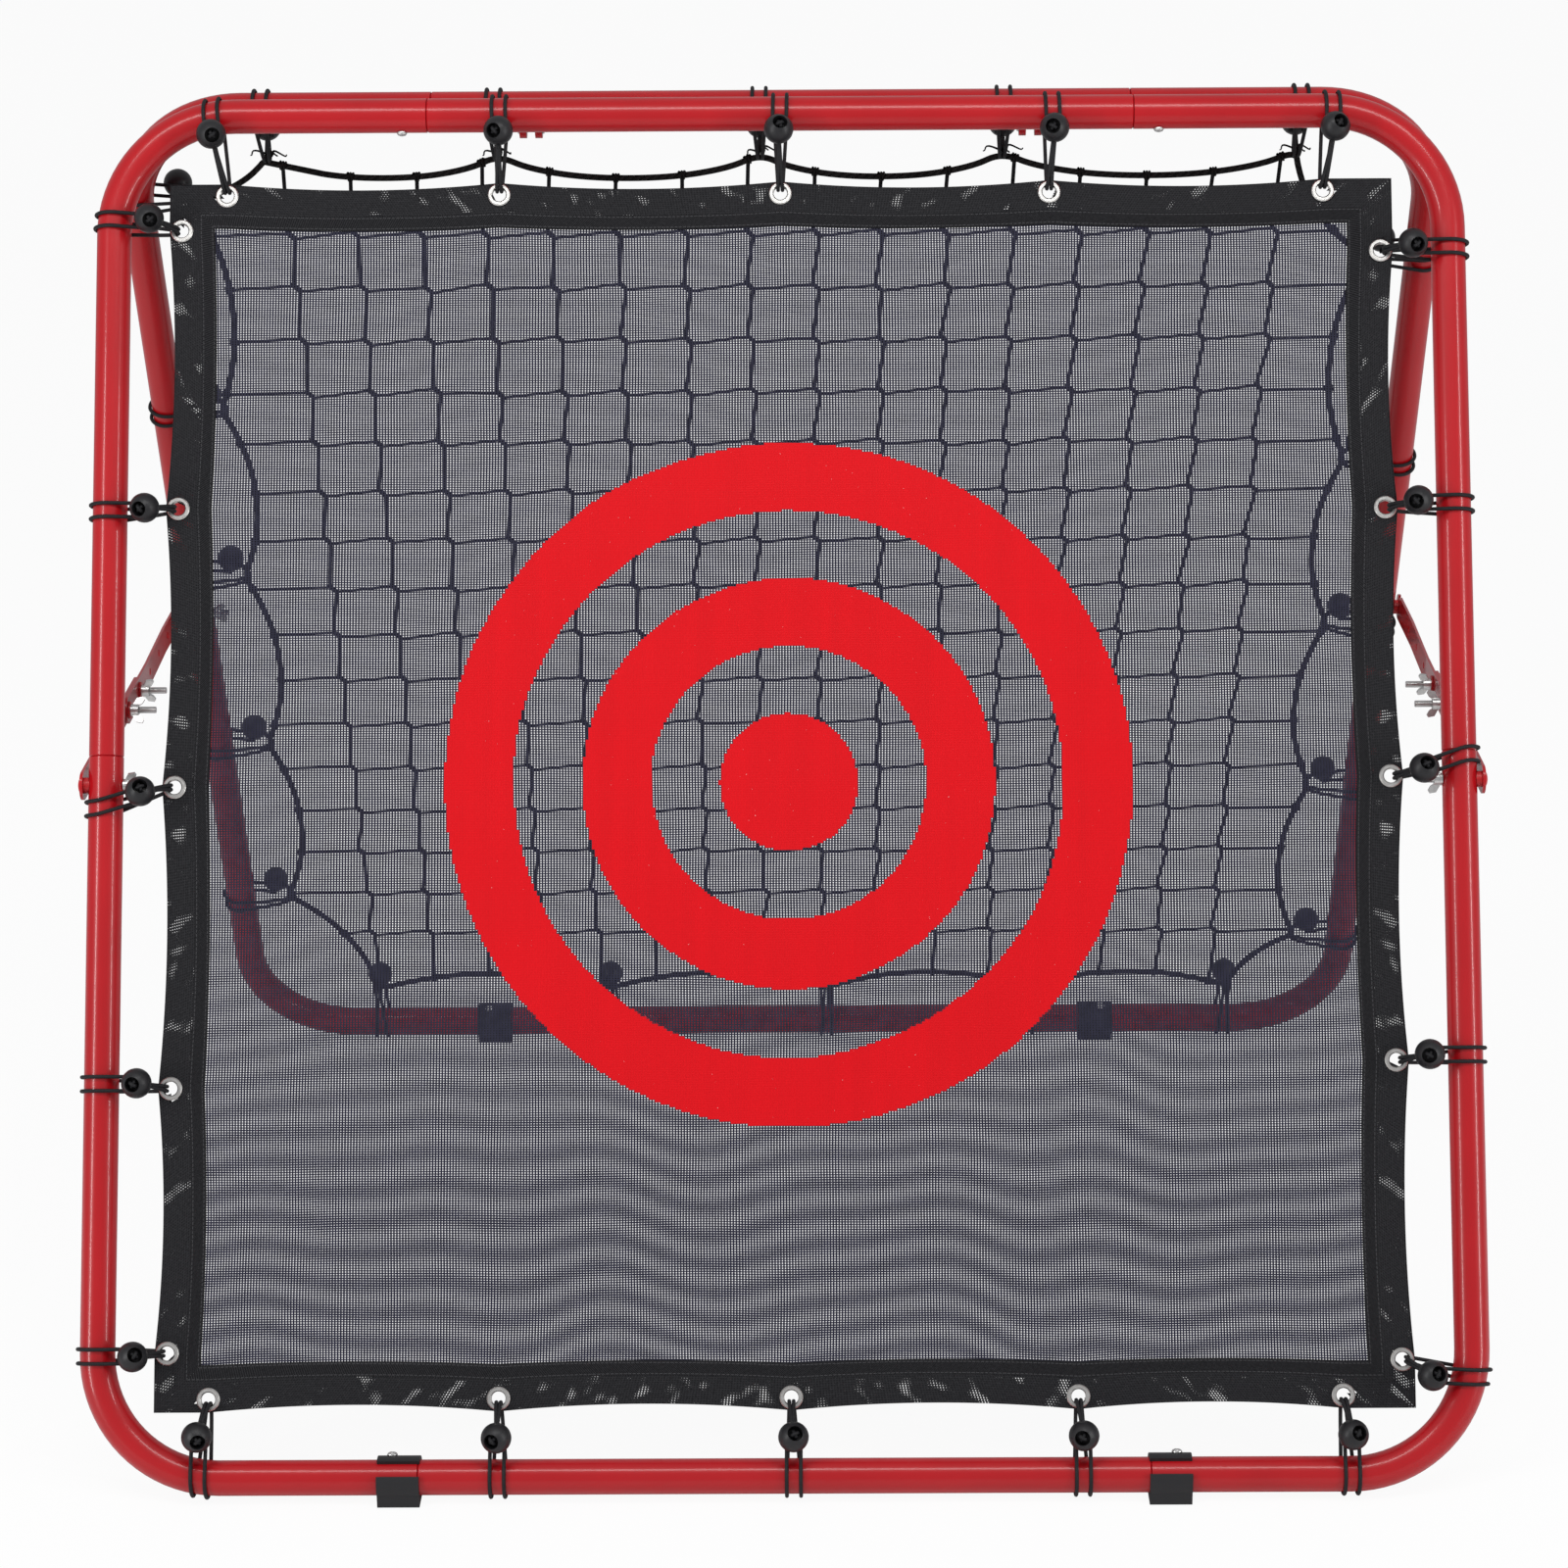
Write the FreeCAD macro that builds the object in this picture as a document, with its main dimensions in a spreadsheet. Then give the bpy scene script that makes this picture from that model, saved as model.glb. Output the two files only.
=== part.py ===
"""Pitch back rebounder: two tube frames hinged at the top, a mesh sheet in front, a knotted net behind.

World axes in millimetres: X across the frame, the mesh sheet faces -Y, Z up, floor at Z = 0.
Each tube frame is drawn upright in its own axes first: x across, z up from the middle of its top tube,
-y the side that faces away from the other frame. A placement then leans it.
"""
import FreeCAD
import Part
import math
import os
import re
import Sketcher

Vector = FreeCAD.Vector
Rotation = FreeCAD.Rotation
Placement = FreeCAD.Placement

# Driving dimensions

SIZES = {
    "frame_width": 1200.0,
    "frame_height": 1184.0,
    "tube_diameter": 30.0,
    "tube_wall": 1.2,
    "bend_radius": 105.0,
    "centre_tube_length": 622.0,
    "swage_length": 50.0,
    "swage_taper": 1.6,
    "swage_clearance": 0.2,
    "side_seam_rise": 24.0,
    "top_tube_spacing": 38.0,
    "brace_span": 534.6,
    "foot_length": 36.0,
    "foot_wall": 3.5,
    "foot_height": 20.0,
    "foot_sole_width": 32.0,
    "foot_inset": 16.0,
    "foot_mouth_start": 30.0,
    "foot_mouth_angle": 45.0,
    "snug_gap": 0.15,
    "screw_inset": 22.0,
    "screw_diameter": 4.8,
    "screw_head_diameter": 9.0,
    "screw_head_height": 3.0,
    "screw_length": 14.0,
    "screw_hole_gap": 0.2,
    "bolt_diameter": 6.0,
    "bolt_hole_gap": 0.25,
    "bolt_head_diameter": 13.0,
    "bolt_head_height": 2.6,
    "side_bolt_tail": 8.0,
    "brace_bolt_tail": 16.0,
    "nut_hub_diameter": 11.0,
    "nut_hub_length": 7.0,
    "nut_thread_gap": 0.08,
    "nut_wing_span": 25.0,
    "nut_wing_height": 12.0,
    "nut_wing_thickness": 2.6,
    "nut_wing_width": 7.0,
    "spacer_diameter": 14.0,
    "spacer_length": 3.5,
    "running_gap": 0.15,
    "bar_width": 25.0,
    "bar_thickness": 2.5,
    "bar_hole_diameter": 7.0,
    "bar_hole_pitch": 30.0,
    "bar_joggle_start": 45.0,
    "bar_joggle_length": 120.0,
    "brace_bolt_reach": 276.0,
    "brace_bolt_pitch": 60.0,
    "brace_washer_diameter": 16.0,
    "brace_washer_thickness": 1.5,
    "brace_ratio": 2.33,
    "hinge_reach": 221.0,
    "hinge_width": 20.0,
    "hinge_lug_thickness": 3.0,
    "hinge_side_gap": 0.2,
    "hinge_drop": 15.0,
    "hinge_eye_diameter": 17.0,
    "hinge_link_width": 13.0,
    "hinge_pin_diameter": 6.0,
    "hinge_pin_fixed_gap": 0.1,
    "hinge_pin_running_gap": 0.06,
    "hinge_pin_head_diameter": 9.0,
    "hinge_pin_head_length": 1.5,
    "sheet_width": 1073.0,
    "sheet_height": 1068.0,
    "sheet_drop": 595.0,
    "sheet_thickness": 0.6,
    "sheet_edge_dip": 6.0,
    "hem_width": 40.0,
    "hem_thickness": 1.0,
    "grommet_inset": 11.0,
    "grommet_diameter": 20.0,
    "grommet_bore": 12.0,
    "grommet_wall": 1.0,
    "grommet_rim": 1.4,
    "grommet_gap": 0.1,
    "cord_diameter": 3.2,
    "cord_gap": 0.1,
    "ball_diameter": 26.0,
    "ball_cup_diameter": 13.0,
    "ball_cup_depth": 13.0,
    "ball_reach": 34.0,
    "low_rear_ball_reach": 52.0,
    "top_ball_reach": 21.0,
    "ball_seat": 0.3,
    "bolt_tie_lift": 2.0,
    "strand_spread": 6.0,
    "strand_pinch": 1.9,
    "strand_turn_depth": 7.0,
    "strand_turn_lean": 3.0,
    "eyelet_pull": 1.6,
    "rope_wrap": 1.7,
    "rope_diameter": 6.0,
    "rope_reach": 50.0,
    "rope_dip": 26.0,
    "net_columns": 17.0,
    "net_rows": 17.0,
    "net_strand": 2.6,
    "net_thickness": 1.8,
}

doc = FreeCAD.newDocument("rebounder")
sheet = doc.addObject("Spreadsheet::Sheet", "Sizes")
for row, (alias, number) in enumerate(SIZES.items(), start=1):
    sheet.set(f"A{row}", alias)
    sheet.set(f"B{row}", str(number))
    sheet.setAlias(f"B{row}", alias)
doc.recompute()

WORDS = re.compile(r"[a-z]+(?:_[a-z]+)+")


def size(alias):
    """One driving dimension, read from the sheet."""
    return float(sheet.get(alias))


def linked(formula):
    """A formula in driving dimensions, written the way an expression reads the sheet."""
    return WORDS.sub(lambda word: "Sizes." + word.group(0), formula)


# Sizes worked out from the driving dimensions, as formulas for expressions

HALF_WIDTH = "((frame_width - tube_diameter) / 2)"
HALF_CENTRE = "(centre_tube_length / 2)"
MIDDLE = "(frame_height / 2)"
SIDE_SEAM = "(frame_height / 2 - side_seam_rise)"
TUBE_RADIUS = "(tube_diameter / 2)"
TUBE_BORE = "(tube_diameter / 2 - tube_wall)"
SWAGE_RADIUS = "(tube_diameter / 2 - tube_wall - swage_clearance)"
SWAGE_BORE = "(tube_diameter / 2 - 2 * tube_wall - swage_clearance)"
SCREW_AT = "(centre_tube_length / 2 + screw_inset)"

# The same, as numbers, for placements and for pieces that follow a route

tube_radius = size("tube_diameter") / 2
half_width = (size("frame_width") - size("tube_diameter")) / 2
half_spacing = size("top_tube_spacing") / 2
middle = size("frame_height") / 2
lean = math.asin((size("brace_span") / 2 - half_spacing) / middle)
top_height = size("foot_height") + size("frame_height") * math.cos(lean)
bolt_y = size("brace_span") / 2
bolt_z = top_height - middle * math.cos(lean)
foot_y = half_spacing + size("frame_height") * math.sin(lean)

X_AXIS = Vector(1, 0, 0)
Y_AXIS = Vector(0, 1, 0)
Z_AXIS = Vector(0, 0, 1)
HALF_TURN = 180.0
QUARTER_TURN = 90.0

FRONT = Placement(Vector(0, -half_spacing, top_height), Rotation(X_AXIS, -math.degrees(lean)))
REAR = Placement(Vector(0, half_spacing, top_height), Rotation(X_AXIS, math.degrees(lean))).multiply(
    Placement(Vector(), Rotation(Z_AXIS, HALF_TURN))
)
FRAMES = {"front": FRONT, "rear": REAR}

nodes = []


def node(item, name):
    """Marks a finished piece with the name of its file."""
    item.Label = name
    nodes.append(item)
    return item


def primitive(kind, name, sizes, at=("0", "0", "0"), turn=None):
    """A Part primitive whose sizes and base point follow the sheet."""
    item = doc.addObject("Part::" + kind, name)
    if turn is not None:
        item.Placement = Placement(Vector(), turn)
    for key, formula in sizes.items():
        item.setExpression(key, linked(formula))
    for axis, formula in zip("xyz", at):
        item.setExpression("Placement.Base." + axis, linked(formula))
    return item


def cylinder(name, radius, height, at=("0", "0", "0"), turn=None):
    return primitive("Cylinder", name, {"Radius": radius, "Height": height}, at, turn)


def fused(name, parts):
    item = doc.addObject("Part::MultiFuse", name)
    item.Shapes = parts
    return item


def cut(name, base, tools):
    """The base less every tool."""
    item = doc.addObject("Part::Cut", name)
    item.Base = base
    item.Tool = tools[0] if len(tools) == 1 else fused(name + "_tools", tools)
    return item


def feature(name, shape, place=None):
    """A piece whose shape follows a route or repeats another piece."""
    item = doc.addObject("Part::Feature", name)
    item.Shape = shape
    if place is not None:
        item.Placement = place
    return node(item, name)


def moved(shape, place):
    """A copy of a shape under one more placement."""
    copy = shape.copy()
    copy.Placement = place.multiply(copy.Placement)
    return copy


def turned(axis, angle):
    return Rotation(axis, angle)


ALONG_X = turned(Y_AXIS, QUARTER_TURN)
AGAINST_Y = turned(X_AXIS, QUARTER_TURN)

# Tubes


def straight_tube(name):
    """A centre tube, tapered at both seams and swaged beyond them to plug into the corners."""
    body_start = f"swage_taper - {HALF_CENTRE}"
    body_length = "centre_tube_length - 2 * swage_taper"
    swage_start = f"-{HALF_CENTRE} - swage_length"
    layers = {}
    for layer, full, small in (("skin", TUBE_RADIUS, SWAGE_RADIUS), ("void", TUBE_BORE, SWAGE_BORE)):
        cone = {"Radius1": small, "Radius2": full, "Height": "swage_taper"}
        far_cone = {"Radius1": full, "Radius2": small, "Height": "swage_taper"}
        layers[layer] = fused(f"{name}_{layer}", [
            cylinder(f"{name}_{layer}_middle", full, body_length, (body_start, "0", "0"), ALONG_X),
            primitive("Cone", f"{name}_{layer}_taper_a", cone, (f"-{HALF_CENTRE}", "0", "0"), ALONG_X),
            primitive("Cone", f"{name}_{layer}_taper_b", far_cone, (f"{HALF_CENTRE} - swage_taper", "0", "0"),
                      ALONG_X),
            cylinder(f"{name}_{layer}_plug_a", small, "swage_length", (swage_start, "0", "0"), ALONG_X),
            cylinder(f"{name}_{layer}_plug_b", small, "swage_length", (HALF_CENTRE, "0", "0"), ALONG_X),
        ])
    holes = [screw_hole(f"{name}_hole_{side}", f"{sign} * {SCREW_AT}")
             for side, sign in (("a", "-1"), ("b", "1"))]
    return cut(name, layers["skin"], [layers["void"]] + holes)


def screw_hole(name, along):
    """The hole of a joint screw, through the lower wall of a tube that lies along x at z = 0."""
    return cylinder(name, "screw_diameter / 2 + screw_hole_gap", TUBE_RADIUS, (along, "0", f"-{TUBE_RADIUS}"))


def corner_tube(name, upper):
    """A corner bend about the origin, from a leg down at x = bend_radius to a leg inwards at z = bend_radius.

    The inward leg is open for the centre tube. The other leg of an upper corner is swaged and plugs into
    the open leg of the lower corner; the side bolt goes through both.
    """
    inward = f"({HALF_WIDTH} - bend_radius - {HALF_CENTRE})"
    seam = f"({SIDE_SEAM} - bend_radius)"
    down = f"({seam} - swage_taper)" if upper else f"(frame_height - bend_radius - {SIDE_SEAM})"
    layers = {}
    for layer, full, small in (("skin", TUBE_RADIUS, SWAGE_RADIUS), ("void", TUBE_BORE, SWAGE_BORE)):
        bend = {"Radius1": "bend_radius", "Radius2": full, "Angle3": "90"}
        parts = [
            primitive("Torus", f"{name}_{layer}_bend", bend, turn=AGAINST_Y),
            cylinder(f"{name}_{layer}_inward", full, inward, (f"-{inward}", "0", "bend_radius"), ALONG_X),
            cylinder(f"{name}_{layer}_down", full, down, ("bend_radius", "0", f"-{down}")),
        ]
        if upper:
            cone = {"Radius1": small, "Radius2": full, "Height": "swage_taper"}
            parts.append(primitive("Cone", f"{name}_{layer}_taper", cone, ("bend_radius", "0", f"-{seam}")))
            parts.append(cylinder(f"{name}_{layer}_plug", small, "swage_length",
                                  ("bend_radius", "0", f"-{seam} - swage_length")))
        layers[layer] = fused(f"{name}_{layer}", parts)
    bolt_drop = f"{MIDDLE} - bend_radius" if upper else f"frame_height - bend_radius - {MIDDLE}"
    bolt_hole = cylinder(f"{name}_bolt_hole", "bolt_diameter / 2 + bolt_hole_gap", "2 * tube_diameter",
                         ("bend_radius - tube_diameter", "0", f"-({bolt_drop})"), ALONG_X)
    screw_at = f"-({HALF_WIDTH} - bend_radius - {SCREW_AT})"
    hole = cylinder(f"{name}_screw_hole", "screw_diameter / 2 + screw_hole_gap", TUBE_RADIUS,
                    (screw_at, "0", f"bend_radius - {TUBE_RADIUS}"))
    return cut(name, layers["skin"], [layers["void"], bolt_hole, hole])


reach = half_width - size("bend_radius")
low_reach = size("frame_height") - size("bend_radius")
CORNERS = {
    "upper_right": (True, Placement(Vector(reach, 0, -size("bend_radius")), Rotation())),
    "upper_left": (True, Placement(Vector(-reach, 0, -size("bend_radius")), turned(Z_AXIS, HALF_TURN))),
    "lower_right": (False, Placement(Vector(reach, 0, -low_reach), turned(X_AXIS, HALF_TURN))),
    "lower_left": (False, Placement(Vector(-reach, 0, -low_reach), turned(Y_AXIS, HALF_TURN))),
}
BOTTOM = Placement(Vector(0, 0, -size("frame_height")), turned(X_AXIS, HALF_TURN))
SWAPPED = {"left": "right", "right": "left"}

for frame, place in FRAMES.items():
    for level, local in (("top", Placement()), ("bottom", BOTTOM)):
        name = f"{frame}_{level}_tube"
        tube = straight_tube(name)
        tube.Placement = place.multiply(local)
        node(tube, name)
    for corner, (upper, local) in CORNERS.items():
        level, side = corner.split("_")
        if frame == "rear":
            side = SWAPPED[side]
        name = f"{frame}_{level}_{side}_corner"
        tube = corner_tube(name, upper)
        tube.Placement = place.multiply(local)
        node(tube, name)

# Sketched pieces


def sketch_on(body, name, role):
    """An empty sketch on one of the body's own origin planes."""
    plane = [item for item in body.Origin.OriginFeatures if item.Role == role][0]
    sketch = body.newObject("Sketcher::SketchObject", name)
    sketch.AttachmentSupport = [(plane, "")]
    sketch.MapMode = "FlatFace"
    return sketch


def outline(sketch, points):
    """A closed outline of straight lines; every corner is a pair of formulas from the sketch's origin."""
    first = sketch.GeometryCount
    count = len(points)
    spots = [Vector(index, index * index, 0) for index in range(count)]
    for index in range(count):
        sketch.addGeometry(Part.LineSegment(spots[index], spots[(index + 1) % count]))
    for index in range(count):
        sketch.addConstraint(Sketcher.Constraint("Coincident", first + index, 2, first + (index + 1) % count, 1))
    for index, corner in enumerate(points):
        for kind, formula in zip(("DistanceX", "DistanceY"), corner):
            constraint = sketch.addConstraint(Sketcher.Constraint(kind, -1, 1, first + index, 1, float(index + 1)))
            sketch.setExpression(f"Constraints[{constraint}]", linked(formula))


def circle(sketch, radius, at=("0", "0")):
    """A circle whose radius and centre follow the sheet."""
    index = sketch.addGeometry(Part.Circle(Vector(1, 1, 0), Vector(0, 0, 1), 1.0))
    constraint = sketch.addConstraint(Sketcher.Constraint("Radius", index, 1.0))
    sketch.setExpression(f"Constraints[{constraint}]", linked(radius))
    for kind, formula in zip(("DistanceX", "DistanceY"), at):
        constraint = sketch.addConstraint(Sketcher.Constraint(kind, -1, 1, index, 3, 1.0))
        sketch.setExpression(f"Constraints[{constraint}]", linked(formula))


def pad(body, name, sketch, length, middle_plane=False):
    item = body.newObject("PartDesign::Pad", name)
    item.Profile = sketch
    item.setExpression("Length", linked(length))
    item.Midplane = middle_plane
    return item


def pocket(body, name, sketch):
    """A cut right through the body, both ways from the sketch."""
    item = body.newObject("PartDesign::Pocket", name)
    item.Profile = sketch
    item.Type = "ThroughAll"
    item.Midplane = True
    return item


# Screws, bolts, spacers and nuts. Each is drawn along z with its seat at z = 0


def revolved(name, points):
    """A body turned about z from an outline in x and z."""
    body = doc.addObject("PartDesign::Body", name)
    sketch = sketch_on(body, name + "_half", "XZ_Plane")
    outline(sketch, points)
    turn = body.newObject("PartDesign::Revolution", name + "_turned")
    turn.Profile = sketch
    turn.ReferenceAxis = (sketch, ["V_Axis"])
    turn.Angle = 360.0
    return body


def headed_fastener(name, head_radius, head_height, shank_radius, shank_length):
    """A low domed head above z = 0 and a shank below it."""
    return revolved(name, [
        ("0", f"-({shank_length})"),
        (f"{shank_radius} - 0.1 * {shank_radius}", f"-({shank_length})"),
        (shank_radius, f"-({shank_length}) + 0.2 * {shank_radius}"),
        (shank_radius, "0"),
        (head_radius, "0"),
        (head_radius, f"0.3 * {head_height}"),
        (f"0.8 * {head_radius}", f"0.75 * {head_height}"),
        (f"0.4 * {head_radius}", head_height),
        ("0", head_height),
    ])


def wing_nut(name):
    """A hub on z with its seat at z = 0 and two wings that lean outwards, bored for its bolt."""
    body = doc.addObject("PartDesign::Body", name)
    hub = sketch_on(body, name + "_hub", "XY_Plane")
    circle(hub, "nut_hub_diameter / 2")
    pad(body, name + "_hub_pad", hub, "nut_hub_length")
    wings = sketch_on(body, name + "_wings", "XZ_Plane")
    for sign in ("1", "-1"):
        outline(wings, [
            (f"{sign} * (nut_hub_diameter / 2 - 1.5)", "1"),
            (f"{sign} * (nut_wing_span / 2 - 1)", "nut_wing_height - nut_wing_width"),
            (f"{sign} * (nut_wing_span / 2)", "nut_wing_height - 0.2 * nut_wing_width"),
            (f"{sign} * (nut_wing_span / 2 - 0.35 * nut_wing_width)", "nut_wing_height"),
            (f"{sign} * (nut_wing_span / 2 - 0.9 * nut_wing_width)", "nut_wing_height - 0.3 * nut_wing_width"),
            (f"{sign} * (nut_hub_diameter / 2 - 1.5)", "nut_hub_length - 0.5"),
        ])
    pad(body, name + "_wing_pad", wings, "nut_wing_thickness", middle_plane=True)
    bore = sketch_on(body, name + "_bore", "XY_Plane")
    circle(bore, "bolt_diameter / 2 + nut_thread_gap")
    pocket(body, name + "_bore_cut", bore)
    return body


SHANK = "(bolt_diameter / 2)"
SIDE_BOLT_LENGTH = ("(spacer_length + bar_thickness + 2 * running_gap + tube_diameter + running_gap"
                    " + nut_hub_length + side_bolt_tail)")
BRACE_BOLT_LENGTH = ("(2 * bar_thickness + 3 * running_gap + brace_washer_thickness + running_gap"
                     " + nut_hub_length + brace_bolt_tail)")

screw = headed_fastener("screw_pattern", "(screw_head_diameter / 2)", "screw_head_height",
                        "(screw_diameter / 2)", "screw_length")
side_bolt = headed_fastener("side_bolt_pattern", "(bolt_head_diameter / 2)", "bolt_head_height",
                            SHANK, SIDE_BOLT_LENGTH)
brace_bolt = headed_fastener("brace_bolt_pattern", "(bolt_head_diameter / 2)", "bolt_head_height",
                             SHANK, BRACE_BOLT_LENGTH)
spacer_blank = cylinder("spacer_blank", "spacer_diameter / 2", "spacer_length + tube_diameter / 4",
                        ("0", "0", "-tube_diameter / 4"))
spacer_bore = cylinder("spacer_bore", "bolt_diameter / 2 + bolt_hole_gap", "spacer_length + tube_diameter",
                       ("0", "0", "-tube_diameter / 2"))
spacer_saddle = cylinder("spacer_saddle", "tube_diameter / 2 + snug_gap", "2 * tube_diameter",
                         ("-tube_diameter", "0", "-tube_diameter / 2"), ALONG_X)
spacer = cut("spacer_pattern", spacer_blank, [spacer_bore, spacer_saddle])
washer_blank = cylinder("washer_blank", "brace_washer_diameter / 2", "brace_washer_thickness")
washer_bore = cylinder("washer_bore", "bolt_diameter / 2 + bolt_hole_gap", "brace_washer_thickness")
washer = cut("washer_pattern", washer_blank, [washer_bore])
doc.recompute()

bar_inner = size("frame_width") / 2 + size("spacer_length") + size("running_gap")
bar_outer = bar_inner + size("bar_thickness")
head_seat = bar_outer + size("running_gap")
lap_inner = bar_inner - size("running_gap") - size("bar_thickness")
washer_seat = lap_inner - size("running_gap")
nut_seat = size("frame_width") / 2 - size("tube_diameter") - size("running_gap")
brace_nut_seat = washer_seat - size("brace_washer_thickness") - size("running_gap")
SIDES = {"left": -1, "right": 1}


def facing(side):
    """Turns a piece drawn along z so that its z points away from the middle, to the left or the right."""
    return turned(Y_AXIS, QUARTER_TURN * SIDES[side])


def inwards(side):
    """Turns a piece drawn along z so that its z points to the middle."""
    return turned(Y_AXIS, -QUARTER_TURN * SIDES[side])


for frame, place in FRAMES.items():
    screws = []
    for sign in (-1, 1):
        along = sign * (size("centre_tube_length") / 2 + size("screw_inset"))
        top_seat = -tube_radius - size("snug_gap")
        foot_seat = -size("frame_height") + tube_radius + size("foot_wall") + size("snug_gap")
        screws.append(moved(screw.Shape, Placement(Vector(along, 0, top_seat), turned(X_AXIS, HALF_TURN))))
        screws.append(moved(screw.Shape, Placement(Vector(along, 0, foot_seat), Rotation())))
    feature(f"{frame}_joint_screws", Part.makeCompound(screws), place)
    bolts = []
    spacers = []
    for side, sign in SIDES.items():
        bolts.append(moved(side_bolt.Shape, Placement(Vector(sign * head_seat, 0, -middle), facing(side))))
        spacers.append(moved(spacer.Shape, Placement(Vector(sign * size("frame_width") / 2, 0, -middle),
                                                     facing(side))))
    feature(f"{frame}_side_bolts", Part.makeCompound(bolts), place)
    feature(f"{frame}_spacers", Part.makeCompound(spacers), place)

WING_TILTS = {"front_left": 35.0, "front_right": -20.0, "rear_left": 10.0, "rear_right": 60.0}
for name, tilt in WING_TILTS.items():
    frame, side = name.split("_")
    drawn_side = side if frame == "front" else SWAPPED[side]
    nut = wing_nut(f"{name}_wing_nut")
    spot = Placement(Vector(SIDES[drawn_side] * nut_seat, 0, -middle), inwards(drawn_side))
    nut.Placement = FRAMES[frame].multiply(spot).multiply(Placement(Vector(), turned(Z_AXIS, tilt)))
    node(nut, f"{name}_wing_nut")

# Foot clips, drawn in world axes round the bottom tube at the origin, front side towards -y


def foot(name, hole_at):
    """A snap-on clip with a flat sole, open at the front above the tube."""
    start = ("-foot_length / 2", "0", "0")
    mouth_turn = 1.5 * HALF_TURN - size("foot_mouth_start") - size("foot_mouth_angle")
    ring = cylinder(name + "_ring", "tube_diameter / 2 + foot_wall", "foot_length", start, ALONG_X)
    sole = primitive("Box", name + "_sole",
                     {"Length": "foot_length", "Width": "foot_sole_width", "Height": "foot_height"},
                     ("-foot_length / 2", "-foot_sole_width / 2", "-foot_height"))
    bore = cylinder(name + "_bore", "tube_diameter / 2 + snug_gap", "foot_length", start, ALONG_X)
    mouth = cylinder(name + "_mouth", "tube_diameter", "foot_length", start,
                     turned(X_AXIS, mouth_turn).multiply(ALONG_X))
    mouth.setExpression("Angle", linked("foot_mouth_angle"))
    hole = cylinder(name + "_hole", "screw_diameter / 2 + screw_hole_gap", "tube_diameter",
                    (hole_at, "0", "0"), turned(X_AXIS, -math.degrees(lean)))
    return cut(name, fused(name + "_blank", [ring, sole]), [bore, mouth, hole])


for frame, flip in (("front", 0.0), ("rear", HALF_TURN)):
    for side, sign in SIDES.items():
        name = f"{frame}_{side}_foot"
        outward = sign if frame == "front" else -sign
        clip = foot(name, f"{outward} * (screw_inset - foot_inset)")
        along = sign * (size("centre_tube_length") / 2 + size("foot_inset"))
        clip.Placement = Placement(Vector(along, -foot_y if frame == "front" else foot_y, size("foot_height")),
                                   turned(Z_AXIS, flip))
        node(clip, name)

# Hinges between the two top tubes

pivot = Vector(0, 0, top_height - size("hinge_drop"))
HINGE_SIDES = (-1, 1)


def hinge_lug(name, start, towards_rear, eye_gap):
    """A plate from its tube to the pin: an eye, a link towards the tube's axis, a saddle for the tube."""
    sign = 1 if towards_rear else -1
    slope = math.degrees(math.atan2(size("hinge_drop"), sign * half_spacing))
    plate = "hinge_lug_thickness"
    eye = cylinder(name + "_eye", "hinge_eye_diameter / 2", plate, (start, "0", "0"), ALONG_X)
    link = primitive("Box", name + "_link",
                     {"Length": plate, "Width": "top_tube_spacing / 2", "Height": "hinge_link_width"},
                     (start, "0", "0"), turned(X_AXIS, slope))
    half_link = "hinge_link_width / 2"
    link.setExpression("Placement.Base.y", linked(f"{half_link} * sin({slope})"))
    link.setExpression("Placement.Base.z", linked(f"-{half_link} * cos({slope})"))
    saddle = cylinder(name + "_saddle", "tube_diameter / 2 + snug_gap", plate,
                      (start, f"{sign} * top_tube_spacing / 2", "hinge_drop"), ALONG_X)
    bore = cylinder(name + "_bore", f"hinge_pin_diameter / 2 + {eye_gap}", plate, (start, "0", "0"), ALONG_X)
    return cut(name, fused(name + "_blank", [eye, link]), [saddle, bore])


OUTER_LUGS = ("-hinge_width / 2", "hinge_width / 2 - hinge_lug_thickness")
INNER_LUGS = ("-hinge_width / 2 + hinge_lug_thickness + hinge_side_gap",
              "hinge_width / 2 - 2 * hinge_lug_thickness - hinge_side_gap")
for name, starts, rear, gap in (
    ("hinge_front_lugs", OUTER_LUGS, False, "hinge_pin_fixed_gap"),
    ("hinge_rear_lugs", INNER_LUGS, True, "hinge_pin_running_gap"),
):
    pair = [hinge_lug(f"{name}_{index}", start, rear, gap) for index, start in enumerate(starts)]
    doc.recompute()
    plates = [moved(lug.Shape, Placement(pivot + Vector(sign * size("hinge_reach"), 0, 0), Rotation()))
              for lug in pair for sign in HINGE_SIDES]
    feature(name, Part.makeCompound(plates))

PIN_HALF = "(hinge_width / 2 + snug_gap)"
hinge_pin = revolved("hinge_pin_pattern", [
    ("0", f"-{PIN_HALF} - hinge_pin_head_length"),
    ("hinge_pin_head_diameter / 2", f"-{PIN_HALF} - hinge_pin_head_length"),
    ("hinge_pin_head_diameter / 2", f"-{PIN_HALF}"),
    ("hinge_pin_diameter / 2", f"-{PIN_HALF}"),
    ("hinge_pin_diameter / 2", PIN_HALF),
    ("hinge_pin_head_diameter / 2", PIN_HALF),
    ("hinge_pin_head_diameter / 2", f"{PIN_HALF} + hinge_pin_head_length"),
    ("0", f"{PIN_HALF} + hinge_pin_head_length"),
])
doc.recompute()
pins = [moved(hinge_pin.Shape, Placement(pivot + Vector(sign * size("hinge_reach"), 0, 0), ALONG_X))
        for sign in HINGE_SIDES]
feature("hinge_pins", Part.makeCompound(pins))

# Braces. A bar is drawn flat: x is its reach back from the front side bolt, y its thickness, z its width

END_ROUND = 0.49
LAP = "(bar_thickness + running_gap)"


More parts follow.
